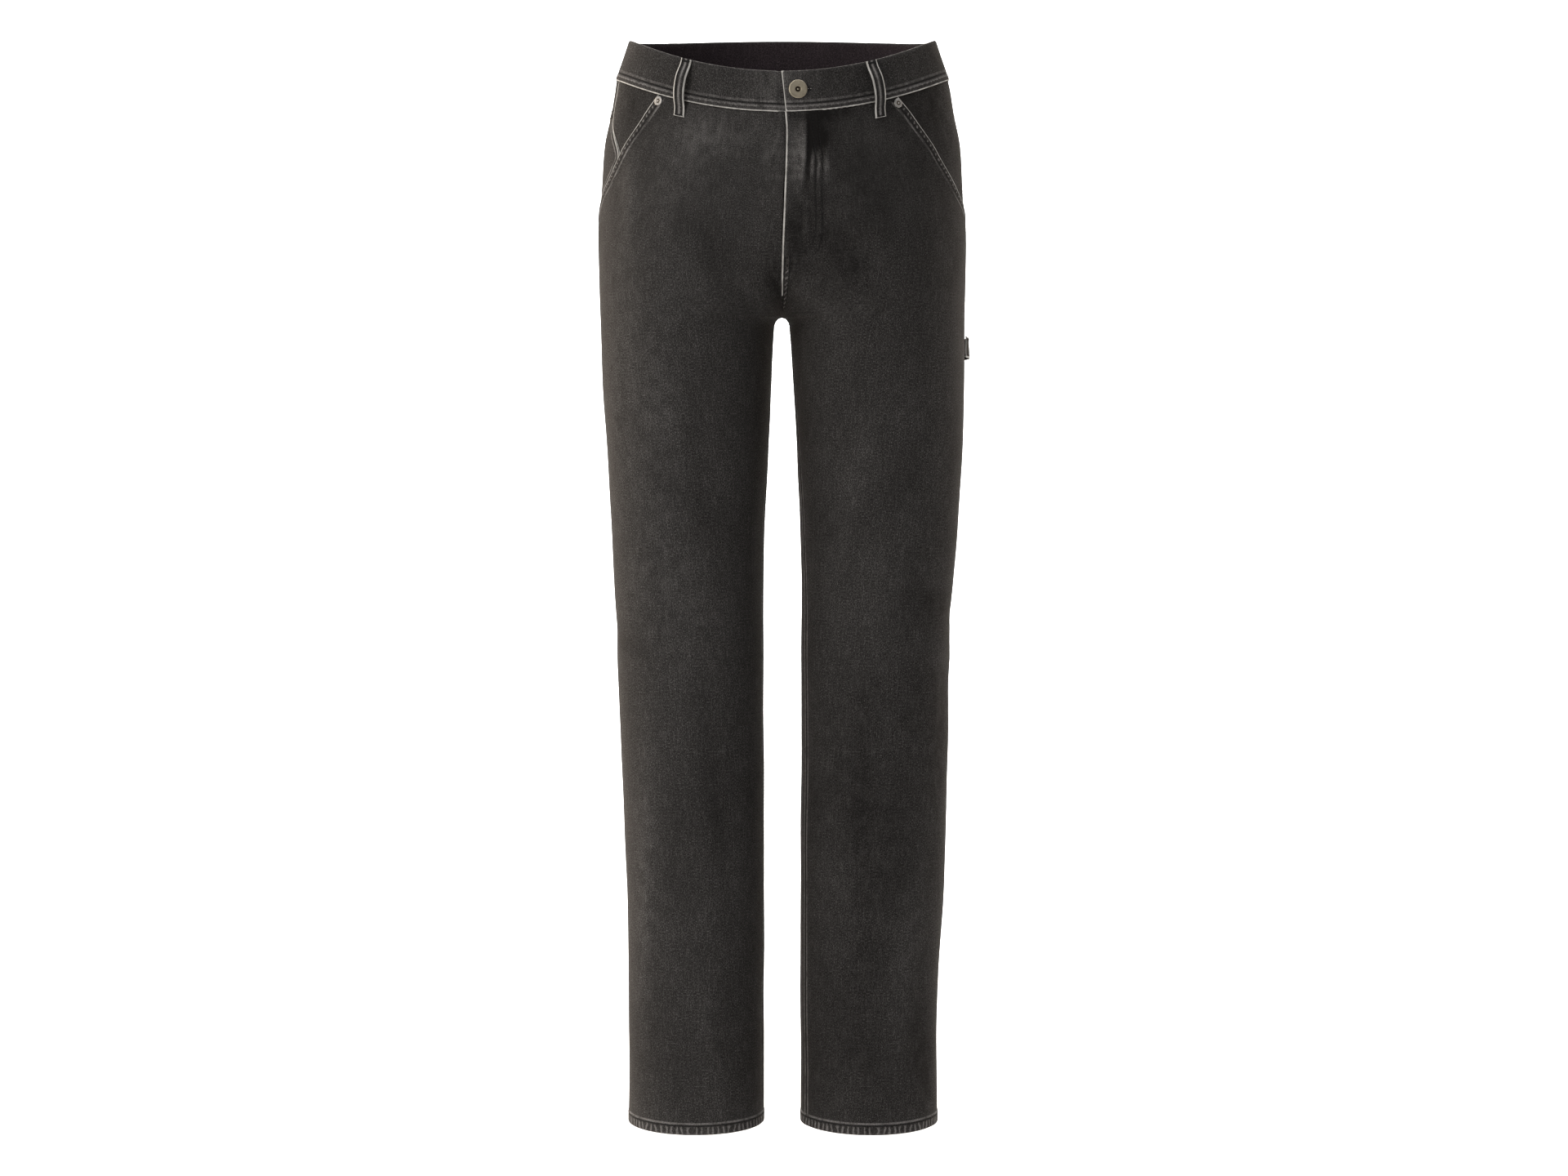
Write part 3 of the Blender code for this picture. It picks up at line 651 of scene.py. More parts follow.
def lay_cloth(name, columns, rows, place, thickness=WALL, inside_row=None):
    """Lays a grid of cloth. place(column numbers, row numbers) gives points, outward directions and a dict of
    the fields, with the cloth's own across and down in metres for its weave."""
    bm = bmesh.new()
    bmesh.ops.create_grid(bm, x_segments=columns, y_segments=rows, size=0.5)
    flat = np.array([corner.co[:2] for corner in bm.verts])
    column, row = np.rint((flat + 0.5) * (columns, rows)).astype(int).T
    points, facing, fields = place(column, row)
    for corner, point in zip(bm.verts, points):
        corner.co = point
    bm.normal_update()
    facing_in = sum(corner.normal.dot(Vector(way)) < 0 for corner, way in zip(bm.verts, facing))
    if facing_in * 2 > len(facing):
        bmesh.ops.reverse_faces(bm, faces=bm.faces)
    if inside_row:
        bm.verts.index_update()
        for face in bm.faces:
            face.material_index = int(min(row[corner.index] for corner in face.verts) >= inside_row)
    piece = smooth_piece(name, bm, DENIM, INSIDE)
    mesh = piece.data
    corners = np.zeros(len(mesh.loops), int)
    mesh.loops.foreach_get("vertex_index", corners)
    uv = np.stack([fields["across"], fields["down"]], axis=1)[corners]
    mesh.uv_layers.new(name="cloth").data.foreach_set("uv", uv.ravel())
    for field, plain in FIELDS.items():
        values = np.broadcast_to(fields.get(field, plain), (len(points),)).astype(np.float32)
        mesh.attributes.new(field, "FLOAT", "POINT").data.foreach_set("value", values)
    wall = piece.modifiers.new("wall", "SOLIDIFY")
    wall.thickness, wall.offset = thickness, -1
    wall.material_offset = 0 if inside_row else 1
    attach(piece, "root")
    return piece


def grain(side, level, along):
    """The cloth's own way across. Its lines hang straight down the middle of the body and of the legs."""
    starts, ends = ends_at(side, level)
    crotch_start, crotch_end = ends_at(side, CROTCH + 1 * MM)
    above = level > CROTCH
    to_front = smooth_step(along / starts - 0.15) * np.where(above, crotch_start - starts, 0)
    to_back = smooth_step(along / ends - 0.15) * np.where(above, crotch_end - ends, 0)
    return along + np.where(along < 0, to_front, to_back)


def nearest_lines(lines, level, along):
    """The distance to the nearest of several lines and how far down that line it is."""
    gap, run = np.full(level.shape, FAR), np.zeros(level.shape)
    for line in lines:
        one, down = distance_to(line, level, along)
        gap, run = np.where(one < gap, one, gap), np.where(one < gap, down, run)
    return gap, run


# Heights over the hem: its stitches, the ridge above them and the middle of the puckers below, whose tall
# streaks fade at this share of the usual rate
HEM_ROW, HEM_RIDGE, HEM_ROPE, HEM_ROPE_RATE = 9.4 * MM, 11.4 * MM, 4.6 * MM, 0.34


def sewn_fields(side, level, along, edges, rows, pads=(), ridges=()):
    """What a piece on the form carries at its corners, from the lines that run over it."""
    stitch, run = nearest_lines(rows, level, along)
    pad = nearest_lines(pads, level, along)[0]
    rope = np.abs(level - HEM - HEM_ROPE) * HEM_ROPE_RATE
    in_hem = level < HEM + HEM_ROW
    return {
        "across": grain(side, level, along), "down": level,
        "edge": nearest_lines(edges, level, along)[0], "ridge": nearest_lines(ridges, level, along)[0],
        "stitch": stitch, "run": np.where(in_hem, along, run), "pad": np.where(in_hem, rope, pad),
        "wear_and_shade": wear_and_shade_of(side, level, along),
    }


print("cells across 10 mm:", len(cells([(0, 1), (10 * MM, 1 * MM)])) - 1)

# %% [markdown]
# ## Seams on the fronts
# Each front has a bound pocket mouth with two rows of stitches, a turned hem and a felled inseam. The
# wearer's left front also carries the fly: its folded edge runs down the middle, and two rows curve in a J
# at the foot of the zip.

# %% Lines sewn on the fronts
TOP = -BAND - 0.2 * MM
SEAM_GAP = 0.1 * MM
HEM_HEIGHT, HEM_RISE = 11 * MM, 0.5 * MM
MOUTH_FIRST, MOUTH_PAD, MOUTH_SECOND, MOUTH_RIDGE = 1.5 * MM, 3.6 * MM, 5.7 * MM, 8.2 * MM
WELT_WIDTH, WELT_RISE = 7.5 * MM, 0.7 * MM
FLY_RISE, FLY_FOOT, FLY_EDGE_ENDS = 1.1 * MM, -213 * MM, -249 * MM
INSEAM_ROW = (
    ("level", "right", "left"),
    (-268, 2.5, 2.5),
    (-330, 3, 8),
    (-420, 4, 18),
    (-500, 5, 21),
    (-1061, 5, 21),
)
FELL_WIDTH = 7 * MM
# The J of the fly, in millimetres down and from the front middle, for its outer and inner row
FLY_ROWS = (
    ((-38, 31), (-79, 32), (-130, 34), (-180, 36), (-198, 36), (-207, 33.5), (-214, 27), (-218.5, 18),
     (-221, 4)),
    ((-38, 25.5), (-79, 26), (-130, 28), (-176, 30), (-193, 30), (-201, 27.5), (-207, 22), (-211, 14),
     (-213, 3)),
)
FRONT_HEM = 2
LEVEL_STEP = 2 * MM


def evenly(line, step=LEVEL_STEP):
    """The same line with its points an even step apart."""
    runs = runs_of(line)
    at = np.linspace(0, runs[-1], max(int(runs[-1] / step), 2))
    return np.stack([np.interp(at, runs, line[:, axis]) for axis in (0, 1)], axis=1)


def rounded(line, passes=6):
    """An even line with its corners eased."""
    line = evenly(line)
    for _ in range(passes):
        line[1:-1] = (line[:-2] + 2 * line[1:-1] + line[2:]) / 4
    return line


def mouth_line(side):
    levels = np.arange(TOP, MOUTH_ENDS, -LEVEL_STEP)
    return line_of(levels, pocket_mouth(side, levels))


def outseam_line(side):
    levels = np.concatenate([np.arange(TOP, MOUTH_ENDS, -LEVEL_STEP), np.linspace(MOUTH_ENDS, HEM, 60)])
    return line_of(levels, outseam(side, levels))


def fly_edge():
    levels = np.arange(TOP, FLY_EDGE_ENDS, -LEVEL_STEP)
    return line_of(levels, ends_at(LEFT, levels)[0])


def hem_line(side, height):
    start, end = ends_at(side, HEM)
    return line_of(np.full(2, HEM + height), np.array([start, end]))


def fly_line(row):
    levels, off = np.array(FLY_ROWS[row]).T * MM
    return rounded(line_of(levels, ends_at(LEFT, levels)[0] + off))


def inseam_row(side, spread=0.0):
    levels = np.linspace(CROTCH - 2 * MM, HEM + HEM_HEIGHT, 50)
    off = read(INSEAM_ROW[1:], column_of(side), levels) + spread
    return line_of(levels, ends_at(side, levels)[0] + off)


def below_fly(off):
    levels = np.arange(FLY_FOOT, CROTCH + 6 * MM, -LEVEL_STEP)
    return line_of(levels, ends_at(LEFT, levels)[0] + off)


BELOW_FLY = (2 * MM, 7.5 * MM)
FRONT_ROWS = {
    side: [beside(mouth_line(side), -MOUTH_FIRST), beside(mouth_line(side), -MOUTH_SECOND),
           hem_line(side, HEM_ROW), inseam_row(side), inseam_row(side, FELL_WIDTH)] for side in (LEFT, RIGHT)
}
FRONT_ROWS[LEFT] += [fly_line(0), fly_line(1), below_fly(BELOW_FLY[0]), below_fly(BELOW_FLY[1])]
FRONT_PADS = {side: [beside(mouth_line(side), -MOUTH_PAD)] for side in (LEFT, RIGHT)}
FRONT_PADS[LEFT].append(below_fly(sum(BELOW_FLY) / 2))
FRONT_RIDGES = {
    side: [beside(mouth_line(side), -MOUTH_RIDGE), hem_line(side, HEM_RIDGE),
           inseam_row(side, FELL_WIDTH / 2), inseam_row(side, FELL_WIDTH + 2 * MM)] for side in (LEFT, RIGHT)
}
print("rows sewn on the left front:", len(FRONT_ROWS[LEFT]))

# %% How far the fronts stand out
TUCK, TUCK_UNDER, TUCK_WIDTH = 0.7 * MM, 1.5 * MM, 1.1 * MM
LAP, UNDER_ENDS, UNDER_FADES = 0.8 * MM, -215 * MM, 40 * MM
FLY_WIDTH, FLY_SIDE_SOFT, FLY_FOOT_SOFT = 37.5 * MM, 4 * MM, 22 * MM
# The rows that turn under at the hem and run up inside it, in millimetres over the hem and out
HEM_ROLL = ((0.4, -0.25), (0, -1.2), (0.4, -2.3), (2, -2.9), (6, -2.9), (11, -2.9))
ROLL_TURNS = -1.5 * MM


def tucked(gap, depth=TUCK):
    """The cloth rolls under at a seam, and further where its neighbour laps over it."""
    return -depth * np.exp(-((gap / TUCK_WIDTH) ** 2))


def tucked_under(side, level, gap):
    """On the wearer's right, the cloth goes under the left along the front and back middle."""
    if side == LEFT:
        return 0
    return tucked(gap, TUCK_UNDER) * smooth_step((level - UNDER_ENDS) / UNDER_FADES)


def lap_over(points, level, last):
    """The wearer's left side reaches past the middle, over the right."""
    points[last & (level > CROTCH + 2 * MM), 0] -= LAP


def hem_stand(level):
    return HEM_RISE * smooth_step((HEM + HEM_HEIGHT + 1 * MM - level) / (1.5 * MM))


def front_stand(side, level, along):
    """Everything that lifts or lowers the face of a front from the form."""
    start = ends_at(side, level)[0]
    mouth_gap = distance_to(mouth_line(side), level, along)[0]
    welt = WELT_RISE * smooth_step((WELT_WIDTH + 1.5 * MM - mouth_gap) / (3 * MM))
    fell = FELL_WIDTH + read(INSEAM_ROW[1:], column_of(side), level) + 1.5 * MM - (along - start)
    felled = 0.5 * MM * smooth_step(fell / (2.5 * MM)) * smooth_step((CROTCH - level) / (12 * MM))
    inseam_gap = np.where(level < CROTCH - 2 * MM, along - start, FAR)
    outer_gap = np.where(level < MOUTH_ENDS, outseam(side, level) - along, FAR)
    stand = creases(side, level, along) + hem_stand(level) + welt + felled
    stand = stand + tucked(inseam_gap) + tucked(outer_gap)
    if side == LEFT:
        across = smooth_step((FLY_WIDTH - (along - start)) / FLY_SIDE_SOFT)
        stand = stand + FLY_RISE * across * smooth_step((level - FLY_FOOT + 12 * MM) / FLY_FOOT_SOFT)
    return stand + tucked_under(side, level, along - start)


def leg_rows(first):
    """Levels down a panel, then the roll at the hem. Each row is a level and a distance out."""
    levels = cells([(first, 1), (CROTCH + 12 * MM, 2.6 * MM), (CROTCH - 14 * MM, 1.0 * MM),
                    (HEM + 14 * MM, 3.4 * MM), (HEM + 1.2 * MM, 1.1 * MM)])
    return np.array([(level, 0.0) for level in levels] + [(HEM + up * MM, out * MM) for up, out in HEM_ROLL])


def panel_columns(fine=0.0):
    """Fractions across a panel from one seam to the other, closer together near both and where it is fine."""
    near = np.array([0, 0.5, 1.0, 1.6, 2.4, 3.6, 5.2, 7.2, 9.6, 12.5]) / 250
    first = max(near[-1], fine)
    close = np.linspace(near[-1], first, max(round((first - near[-1]) * 160), 1))[1:]
    return np.concatenate([near, close, np.linspace(first, 1 - near[-1], round(62 * (1 - first)))[1:-1],
                           1 - near[::-1]])


FLY_FINE = {LEFT: 0.18, RIGHT: 0.08}
print("rows down a front:", len(leg_rows(TOP)), "columns:", len(panel_columns(FLY_FINE[LEFT])))

# %% The fronts
# The width and length of each piece laid flat, in metres
FLAT = {"front": (0.345, 1.075), "back": (0.355, 1.06), "yoke": (0.235, 0.075), "facing": (0.115, 0.165)}


def between_seams(start, end, fraction):
    """How far round a place is, at a fraction of the way from one seam to the next."""
    return start + SEAM_GAP + (end - start - 2 * SEAM_GAP) * fraction


def front_cloth(side):
    rows, columns = leg_rows(TOP), panel_columns(FLY_FINE[side])
    edges = [mouth_line(side), hem_line(side, 0)]
    if side == LEFT:
        edges.append(fly_edge())

    def place(column, row):
        level, roll = rows[row].T
        start, end = ends_at(side, level)[0], front_edge(side, level)
        along = between_seams(start, end, columns[column])
        points, facing = on_form(side, level, along, front_stand(side, level, along) + roll)
        facing = facing * np.where(roll < ROLL_TURNS, -1, 1)[:, None]
        if side == LEFT:
            lap_over(points, level, column == 0)
        return points, facing, sewn_fields(side, level, along, edges, FRONT_ROWS[side], FRONT_PADS[side],
                                           FRONT_RIDGES[side])

    name = SIDE_NAMES[side]
    piece = lay_cloth(f"front_cloth_{name}", len(columns) - 1, len(rows) - 1, place)
    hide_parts(f"front_panel_{name}")
    return piece


fronts = [front_cloth(side) for side in (LEFT, RIGHT)]
print("fronts:", [len(piece.data.polygons) for piece in fronts])

# %% [markdown]
# ## Backs and yokes
# The back of each leg is a panel and a curved yoke, and the yoke's seam does the work of a dart: it gives
# the seat its round. The seams there are felled, folded into each other and sewn down with two rows.

# %% Rows sewn on the backs
YOKE_ROW, YOKE_ROW_SPREAD = 2 * MM, 6 * MM
SEAT_OFFSETS, SEAT_PAD = (2 * MM, 8 * MM), 5 * MM
OUTSEAM_ROW, OUTSEAM_RIDGE = 2 * MM, 4.5 * MM
# The yoke's raised edge, the knots at its end that the wash spares, and how soon the outseam presses it flat
YOKE_RISE, YOKE_FAINT, SEAM_SETTLES = 0.5 * MM, 5, 12 * MM
# The felled back rise: its lift, its width and how softly it ends
RISE_LIFT, RISE_WIDTH, RISE_SOFT = 0.25 * MM, 9 * MM, 3 * MM


def yoke_line(side, above=0.0):
    """The yoke's seam, or a row a distance above it."""
    fraction = np.linspace(0, 1, 90)
    levels = yoke_seam(fraction) + above
    start, end = outseam(side, levels), ends_at(side, levels)[1]
    return line_of(levels, start + (end - start) * fraction)


def seat_row(off):
    """A row beside the back rise, on the wearer's left."""
    levels = np.arange(yoke_seam(1), CROTCH + 4 * MM, -LEVEL_STEP)
    return line_of(levels, ends_at(LEFT, levels)[1] - off)


BACK_ROWS = {side: [hem_line(side, HEM_ROW), beside(outseam_line(side), OUTSEAM_ROW)]
             for side in (LEFT, RIGHT)}
BACK_ROWS[LEFT] += [seat_row(off) for off in SEAT_OFFSETS]
BACK_PADS = {LEFT: [seat_row(SEAT_PAD)], RIGHT: []}
BACK_RIDGES = {side: [hem_line(side, HEM_RIDGE), beside(outseam_line(side), OUTSEAM_RIDGE)]
               for side in (LEFT, RIGHT)}


def back_stand(side, level, along):
    end = ends_at(side, level)[1]
    below_rise = np.where(level < CROTCH - 2 * MM, end - along, FAR)
    stand = creases(side, level, along) + hem_stand(level) + tucked(below_rise)
    stand = stand + RISE_LIFT * smooth_step((RISE_WIDTH - (end - along)) / RISE_SOFT) * (level > CROTCH)
    return stand + tucked_under(side, level, end - along)


def back_cloth(side):
    rows, columns = leg_rows(MOUTH_ENDS), panel_columns()
    seat = np.linspace(0, 1, 52)
    edges = [hem_line(side, 0), outseam_line(side), yoke_line(side)[YOKE_FAINT:]]
    if side == LEFT:
        edges.append(seat_row(0))

    def place(column, row):
        top = yoke_seam(columns[column]) - SEAM_GAP
        on_seat = row < len(seat) - 1
        down = seat[np.minimum(row, len(seat) - 1)]
        level, roll = rows[np.maximum(row - len(seat) + 1, 0)].T
        level = np.where(on_seat, top + (MOUTH_ENDS - top) * down, level)
        roll = np.where(on_seat, 0, roll)
        start, end = outseam(side, level), ends_at(side, level)[1]
        along = between_seams(start, end, columns[column])
        under = tucked(np.where(on_seat, top - level, FAR)) * smooth_step((along - start) / SEAM_SETTLES)
        points, facing = on_form(side, level, along, back_stand(side, level, along) + under + roll)
        facing = facing * np.where(roll < ROLL_TURNS, -1, 1)[:, None]
        if side == LEFT:
            lap_over(points, level, column == len(columns) - 1)
        return points, facing, sewn_fields(side, level, along, edges, BACK_ROWS[side], BACK_PADS[side],
                                           BACK_RIDGES[side])

    name = SIDE_NAMES[side]
    piece = lay_cloth(f"back_cloth_{name}", len(columns) - 1, len(seat) + len(rows) - 2, place)
    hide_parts(f"back_panel_{name}")
    return piece


def yoke_cloth(side):
    first, pad, second = (yoke_line(side, YOKE_ROW + YOKE_ROW_SPREAD * share) for share in (0, 0.5, 1))
    columns, rows = np.linspace(0, 1, 90), np.linspace(0, 1, 30)

    def place(column, row):
        across, down = columns[column], rows[row]
        level = TOP + (yoke_seam(across) - TOP) * down
        start, end = outseam(side, level), ends_at(side, level)[1]
        along = between_seams(start, end, across)
        inwards = smooth_step((along - start) / SEAM_SETTLES)
        stand = creases(side, level, along) + YOKE_RISE * smooth_step((down - 0.75) / 0.1) * inwards
        if side == RIGHT:
            stand = stand + tucked(end - along, TUCK_UNDER)
        points, facing = on_form(side, level, along, stand)
        if side == LEFT:
            lap_over(points, level, column == len(columns) - 1)
        edges = [yoke_line(side)[YOKE_FAINT:], outseam_line(side)]
        fields = sewn_fields(side, level, along, edges, [first, second], [pad])
        return points, facing, {**fields, "across": level, "down": along}

    name = SIDE_NAMES[side]
    piece = lay_cloth(f"yoke_cloth_{name}", len(columns) - 1, len(rows) - 1, place)
    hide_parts(f"yoke_{name}")
    return piece


backs = [back_cloth(side) for side in (LEFT, RIGHT)]
yokes = [yoke_cloth(side) for side in (LEFT, RIGHT)]
print("backs:", [len(piece.data.polygons) for piece in backs + yokes])

# %% [markdown]
# ## Pocket facings
# A slanted pocket shows a piece of denim in its mouth, sewn to the pocket bag behind. It starts under the
# front's bound edge and comes up level with the back at the outseam.

# %% The facings
FACING_UNDER, FACING_CLEAR, FACING_LEAST, FACING_RISES = 14 * MM, 6 * MM, 4 * MM, 30 * MM
FACING_DEPTH = 2.2 * MM
# How far past the mouth's end each facing goes down
FACING_PAST = {LEFT: 0.0, RIGHT: 8 * MM}
FACING_BEND, FACING_COLUMNS = 10, 40


def facing_cloth(side):
    last = FACING_ENDS[side] - FACING_PAST[side]
    rows = cells([(TOP, 1), (last, 2 * MM)])

    def place(column, row):
        level = rows[row]
        mouth, end = pocket_mouth(side, level), outseam(side, level) - SEAM_GAP
        bend = np.minimum(mouth + FACING_CLEAR, end - FACING_LEAST)
        under = bend + (FACING_UNDER + FACING_CLEAR) * (column / FACING_BEND - 1)
        shown = np.clip((column - FACING_BEND) / (FACING_COLUMNS - FACING_BEND), 0, 1)
        along = np.where(column < FACING_BEND, under, bend + (end - bend) * shown)
        risen = smooth_step(shown) * np.clip((end - bend) / FACING_RISES, 0, 1) ** 2
        out = -FACING_DEPTH * (1 - risen) + creases(side, level, along) * risen
        points, facing = on_form(side, level, along, out)
        return points, facing, sewn_fields(side, level, along, [outseam_line(side)],
                                           [beside(outseam_line(side), -3 * MM)])

    name = SIDE_NAMES[side]
    piece = lay_cloth(f"facing_cloth_{name}", FACING_COLUMNS, len(rows) - 1, place)
    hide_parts(f"pocket_facing_{name}")
    size, area = (FLAT["facing"], 0.0115) if side == LEFT else ((0.085, 0.095), 0.0058)
    return piece


facings = [facing_cloth(side) for side in (LEFT, RIGHT)]
print("facings:", [len(piece.data.polygons) for piece in facings])

# %% [markdown]
# ## Waistband
# The band is a strip folded over at the top, with the raw edges turned in between its two faces. We lay the
# outside, roll over the top edge and come down the inside in one piece. The lower edge stands proud of
# the panels, and a row of stitches presses a groove 7 mm above it.

# %% The waistband
# Up the outside, over the top and down the inside: the level and the distance out, in millimetres
BAND_PROFILE = (
    (-37.2, -0.05), (-38.4, 0.25), (-38.7, 0.7), (-38.0, 1.15), (-36.5, 1.35), (-34, 1.3), (-32.4, 1.15),
    (-31.2, 0.75), (-30, 0.95), (-28, 1.05), (-24, 1.0), (-20, 1.0), (-16, 1.0), (-12, 1.0), (-8, 1.0),
    (-5, 1.05), (-2.6, 1.1), (-1.0, 0.9), (-0.2, 0.35), (0, -0.25), (-0.3, -0.85), (-1.4, -1.35), (-5, -1.45),
    (-10, -1.4), (-16, -1.4), (-22, -1.4), (-28, -1.4), (-33, -1.4), (-36.5, -1.4), (-37.8, -1.25),
)
BAND_INSIDE_ROW = 21
BAND_QUARTER, BAND_STEP_STARTS, BAND_END_STOPS = 150, 9, 12
BAND_WALL = 0.8 * MM
BAND_LAP, BAND_UNDER = 38 * MM, -2.75 * MM
BAND_TOP_FAINT = 0.6 * MM
BAND_GROOVE, BAND_PAD, BAND_RIDGE, BAND_INNER_ROW = -31.2 * MM, -34.6 * MM, 2.2 * MM, -34 * MM
BAND_WEAR, BAND_WORN, BAND_PAD_FAINT = 0.16, 30 * MM, 0.45 * MM
# Waves along the band, in radians a metre, with their turn and their height in millimetres
BAND_WAVES = ((31, 0.3, 0.22), (57, 1.9, 0.16), (101, 4.4, 0.10))


def band_stops():
    """Places along the band from the front middle round the wearer's left, the back and the right, then
    down a step and under its own start: the side, the fraction round it, the distance from the middle, and
    how far down the step it is."""
    stops = [(LEFT, i / BAND_QUARTER, 0.0, 0.0) for i in range(BAND_QUARTER)]
    stops += [(RIGHT, 1 - i / BAND_QUARTER, 0.0, 0.0) for i in range(BAND_QUARTER - BAND_STEP_STARTS)]
    step_down = ((9, 0), (7, 0.15), (5, 0.45), (3, 0.8), (0.6, 1.0))
    stops += [(RIGHT, None, off * MM, down) for off, down in step_down]
    stops += [(LEFT, None, BAND_LAP * t, 1.0) for t in (0.1, 0.3, 0.5, 0.7, 0.9, 1.0)]
    return stops


def band_cloth():
    stops, profile = band_stops(), np.array(BAND_PROFILE) * MM

    def place(column, row):
        level, out = profile[row].T
        points, facing = np.zeros((len(row), 3)), np.zeros((len(row), 3))
        across, end_gap = np.zeros(len(row)), np.full(len(row), FAR)
        length = ends_at(LEFT, -BAND / 2)[1] - ends_at(LEFT, -BAND / 2)[0]
        for number, (side, fraction, off, down) in enumerate(stops):
            mine = column == number
            start, end = ends_at(side, level[mine])
            along = start + off if fraction is None else start + (end - start) * fraction
            waves = (rise * MM * np.sin(turns * along + side * shift) for turns, shift, rise in BAND_WAVES)
            stand = out[mine] + sum(waves) + BAND_UNDER * down
            points[mine], facing[mine] = on_form(side, level[mine], along, stand)
            over = np.mean(along - start)
            across[mine] = over if side == LEFT else 2 * length - over
            end_gap[mine] = over if number < BAND_END_STOPS else FAR
        facing[row >= BAND_INSIDE_ROW] *= -1
        from_seam = np.abs(level + BAND) + np.where(row >= BAND_INSIDE_ROW, FAR, 0.3 * MM)
        from_top = np.abs(level) + np.abs(out - 0.3 * MM) * 0.5 + BAND_TOP_FAINT
        edge = np.minimum(np.minimum(from_seam, from_top), end_gap)
        outside = row < BAND_INSIDE_ROW
        stitch = np.where(outside, np.abs(level - BAND_GROOVE), np.abs(level - BAND_INNER_ROW))
        pad = np.where(outside, np.abs(level - BAND_PAD) + BAND_PAD_FAINT, FAR)
        from_middle = np.minimum(across, 2 * length - across)
        # The same darkening of each side as on the panels: tone, and on the wearer's left painted shade
        band_side_tone_and_shade = np.where(across < length, SIDE_TONE_AND_SHADE[LEFT], SIDE_TONE_AND_SHADE[RIGHT])
        wear_and_shade = np.where(outside, BAND_WEAR * np.exp(-((from_middle / BAND_WORN) ** 2)) + band_side_tone_and_shade, 0)
        return points, facing, {
            "across": across, "down": level, "edge": edge, "stitch": stitch, "run": across, "pad": pad,
            "ridge": np.abs(stitch - BAND_RIDGE), "wear_and_shade": wear_and_shade,
        }

    piece = lay_cloth("waistband_cloth", len(stops) - 1, len(profile) - 1, place, BAND_WALL, BAND_INSIDE_ROW)
    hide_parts("waistband")
    return piece


band = band_cloth()
print("waistband:", len(band.data.polygons))

# %% [markdown]
# ## Straps
# Belt loops are narrow strips with both edges folded in, which leaves a ridge down each side. They are
# tacked under the band's top edge and again below its seam, and bow out between so that a belt can pass.
# The hammer loop is the same kind of strap, wider, across the wearer's left outseam.

# %% Belt loops and the hammer loop
LOOP_WIDTH, HAMMER_WIDTH = 11.5 * MM, 21 * MM
STRAP_WALL = 1.3 * MM
LOOPS = (
    ("belt_loop_front_right", RIGHT, -115),
    ("belt_loop_front_left", LEFT, -121.5),
    ("belt_loop_back_right", RIGHT, 92),
    ("belt_loop_back_left", LEFT, 92),
    ("belt_loop_back_middle", None, 0),
)
# The run of a loop: the level and its outer face out from the form, in millimetres
LOOP_RUN = ((-0.4, 2.7), (-3, 2.9), (-6, 3.2), (-9, 4.6), (-12, 6.2), (-18, 8.6), (-25, 9.1), (-32, 8.3),
            (-39, 6.0), (-43, 3.8), (-46, 2.4), (-50, 2.0), (-54.5, 1.9))
LOOP_ROWS, LOOP_FOOT, LOOP_TACKS = 46, -54.5 * MM, (-53.4 * MM, -3 * MM)
LOOP_ROW, LOOP_WEAR = 2.7 * MM, 0.08
# The same for the hammer loop, from its distance round the leg. Its lower edge bags out a little more.
HAMMER_RUN = ((6, 1.9), (9, 2.2), (13, 3.8), (20, 6.2), (32, 8.9), (44, 8.9), (56, 6.2), (63, 3.6), (67, 2.1),
              (71, 1.9))
HAMMER_LEVEL, HAMMER_SLOPE, HAMMER_WEAR = -296 * MM, -4 * MM, -0.12
HAMMER_ROWS, HAMMER_ROW, HAMMER_TACK, HAMMER_BAGS = 56, 3.2 * MM, 8 * MM, 0.22
STRAP_COLUMNS, STRAP_EDGE = 20, 0.9 * MM


def run_along(table, count):
    """A strap's run as even steps through a smooth curve."""
    knots = np.array(table) * MM
    line = rounded(np.stack([knots[:, 0], knots[:, 1]], axis=1), 2)
    at = np.linspace(0, len(line) - 1, count)
    return np.stack([np.interp(at, np.arange(len(line)), line[:, axis]) for axis in (0, 1)], axis=1)


def strap_ridges(across, width):
    """The folded-in edges stand higher than the middle and round over at the sides."""
    from_side = width / 2 - np.abs(across)
    ridge = 0.45 * MM * np.exp(-(((from_side - 1.9 * MM) / (1.1 * MM)) ** 2))
    return ridge - 0.55 * MM * np.exp(-((from_side / (0.6 * MM)) ** 2))


def loop_middle(side, level, along_mm):
    """The middle of a loop at a level. The one at the back middle has no distance of its own."""
    start, end = ends_at(side, level)
    mid_start, mid_end = ends_at(side, -BAND / 2)
    return end if along_mm is None else along_mm * MM * (end - start) / (mid_end - mid_start)


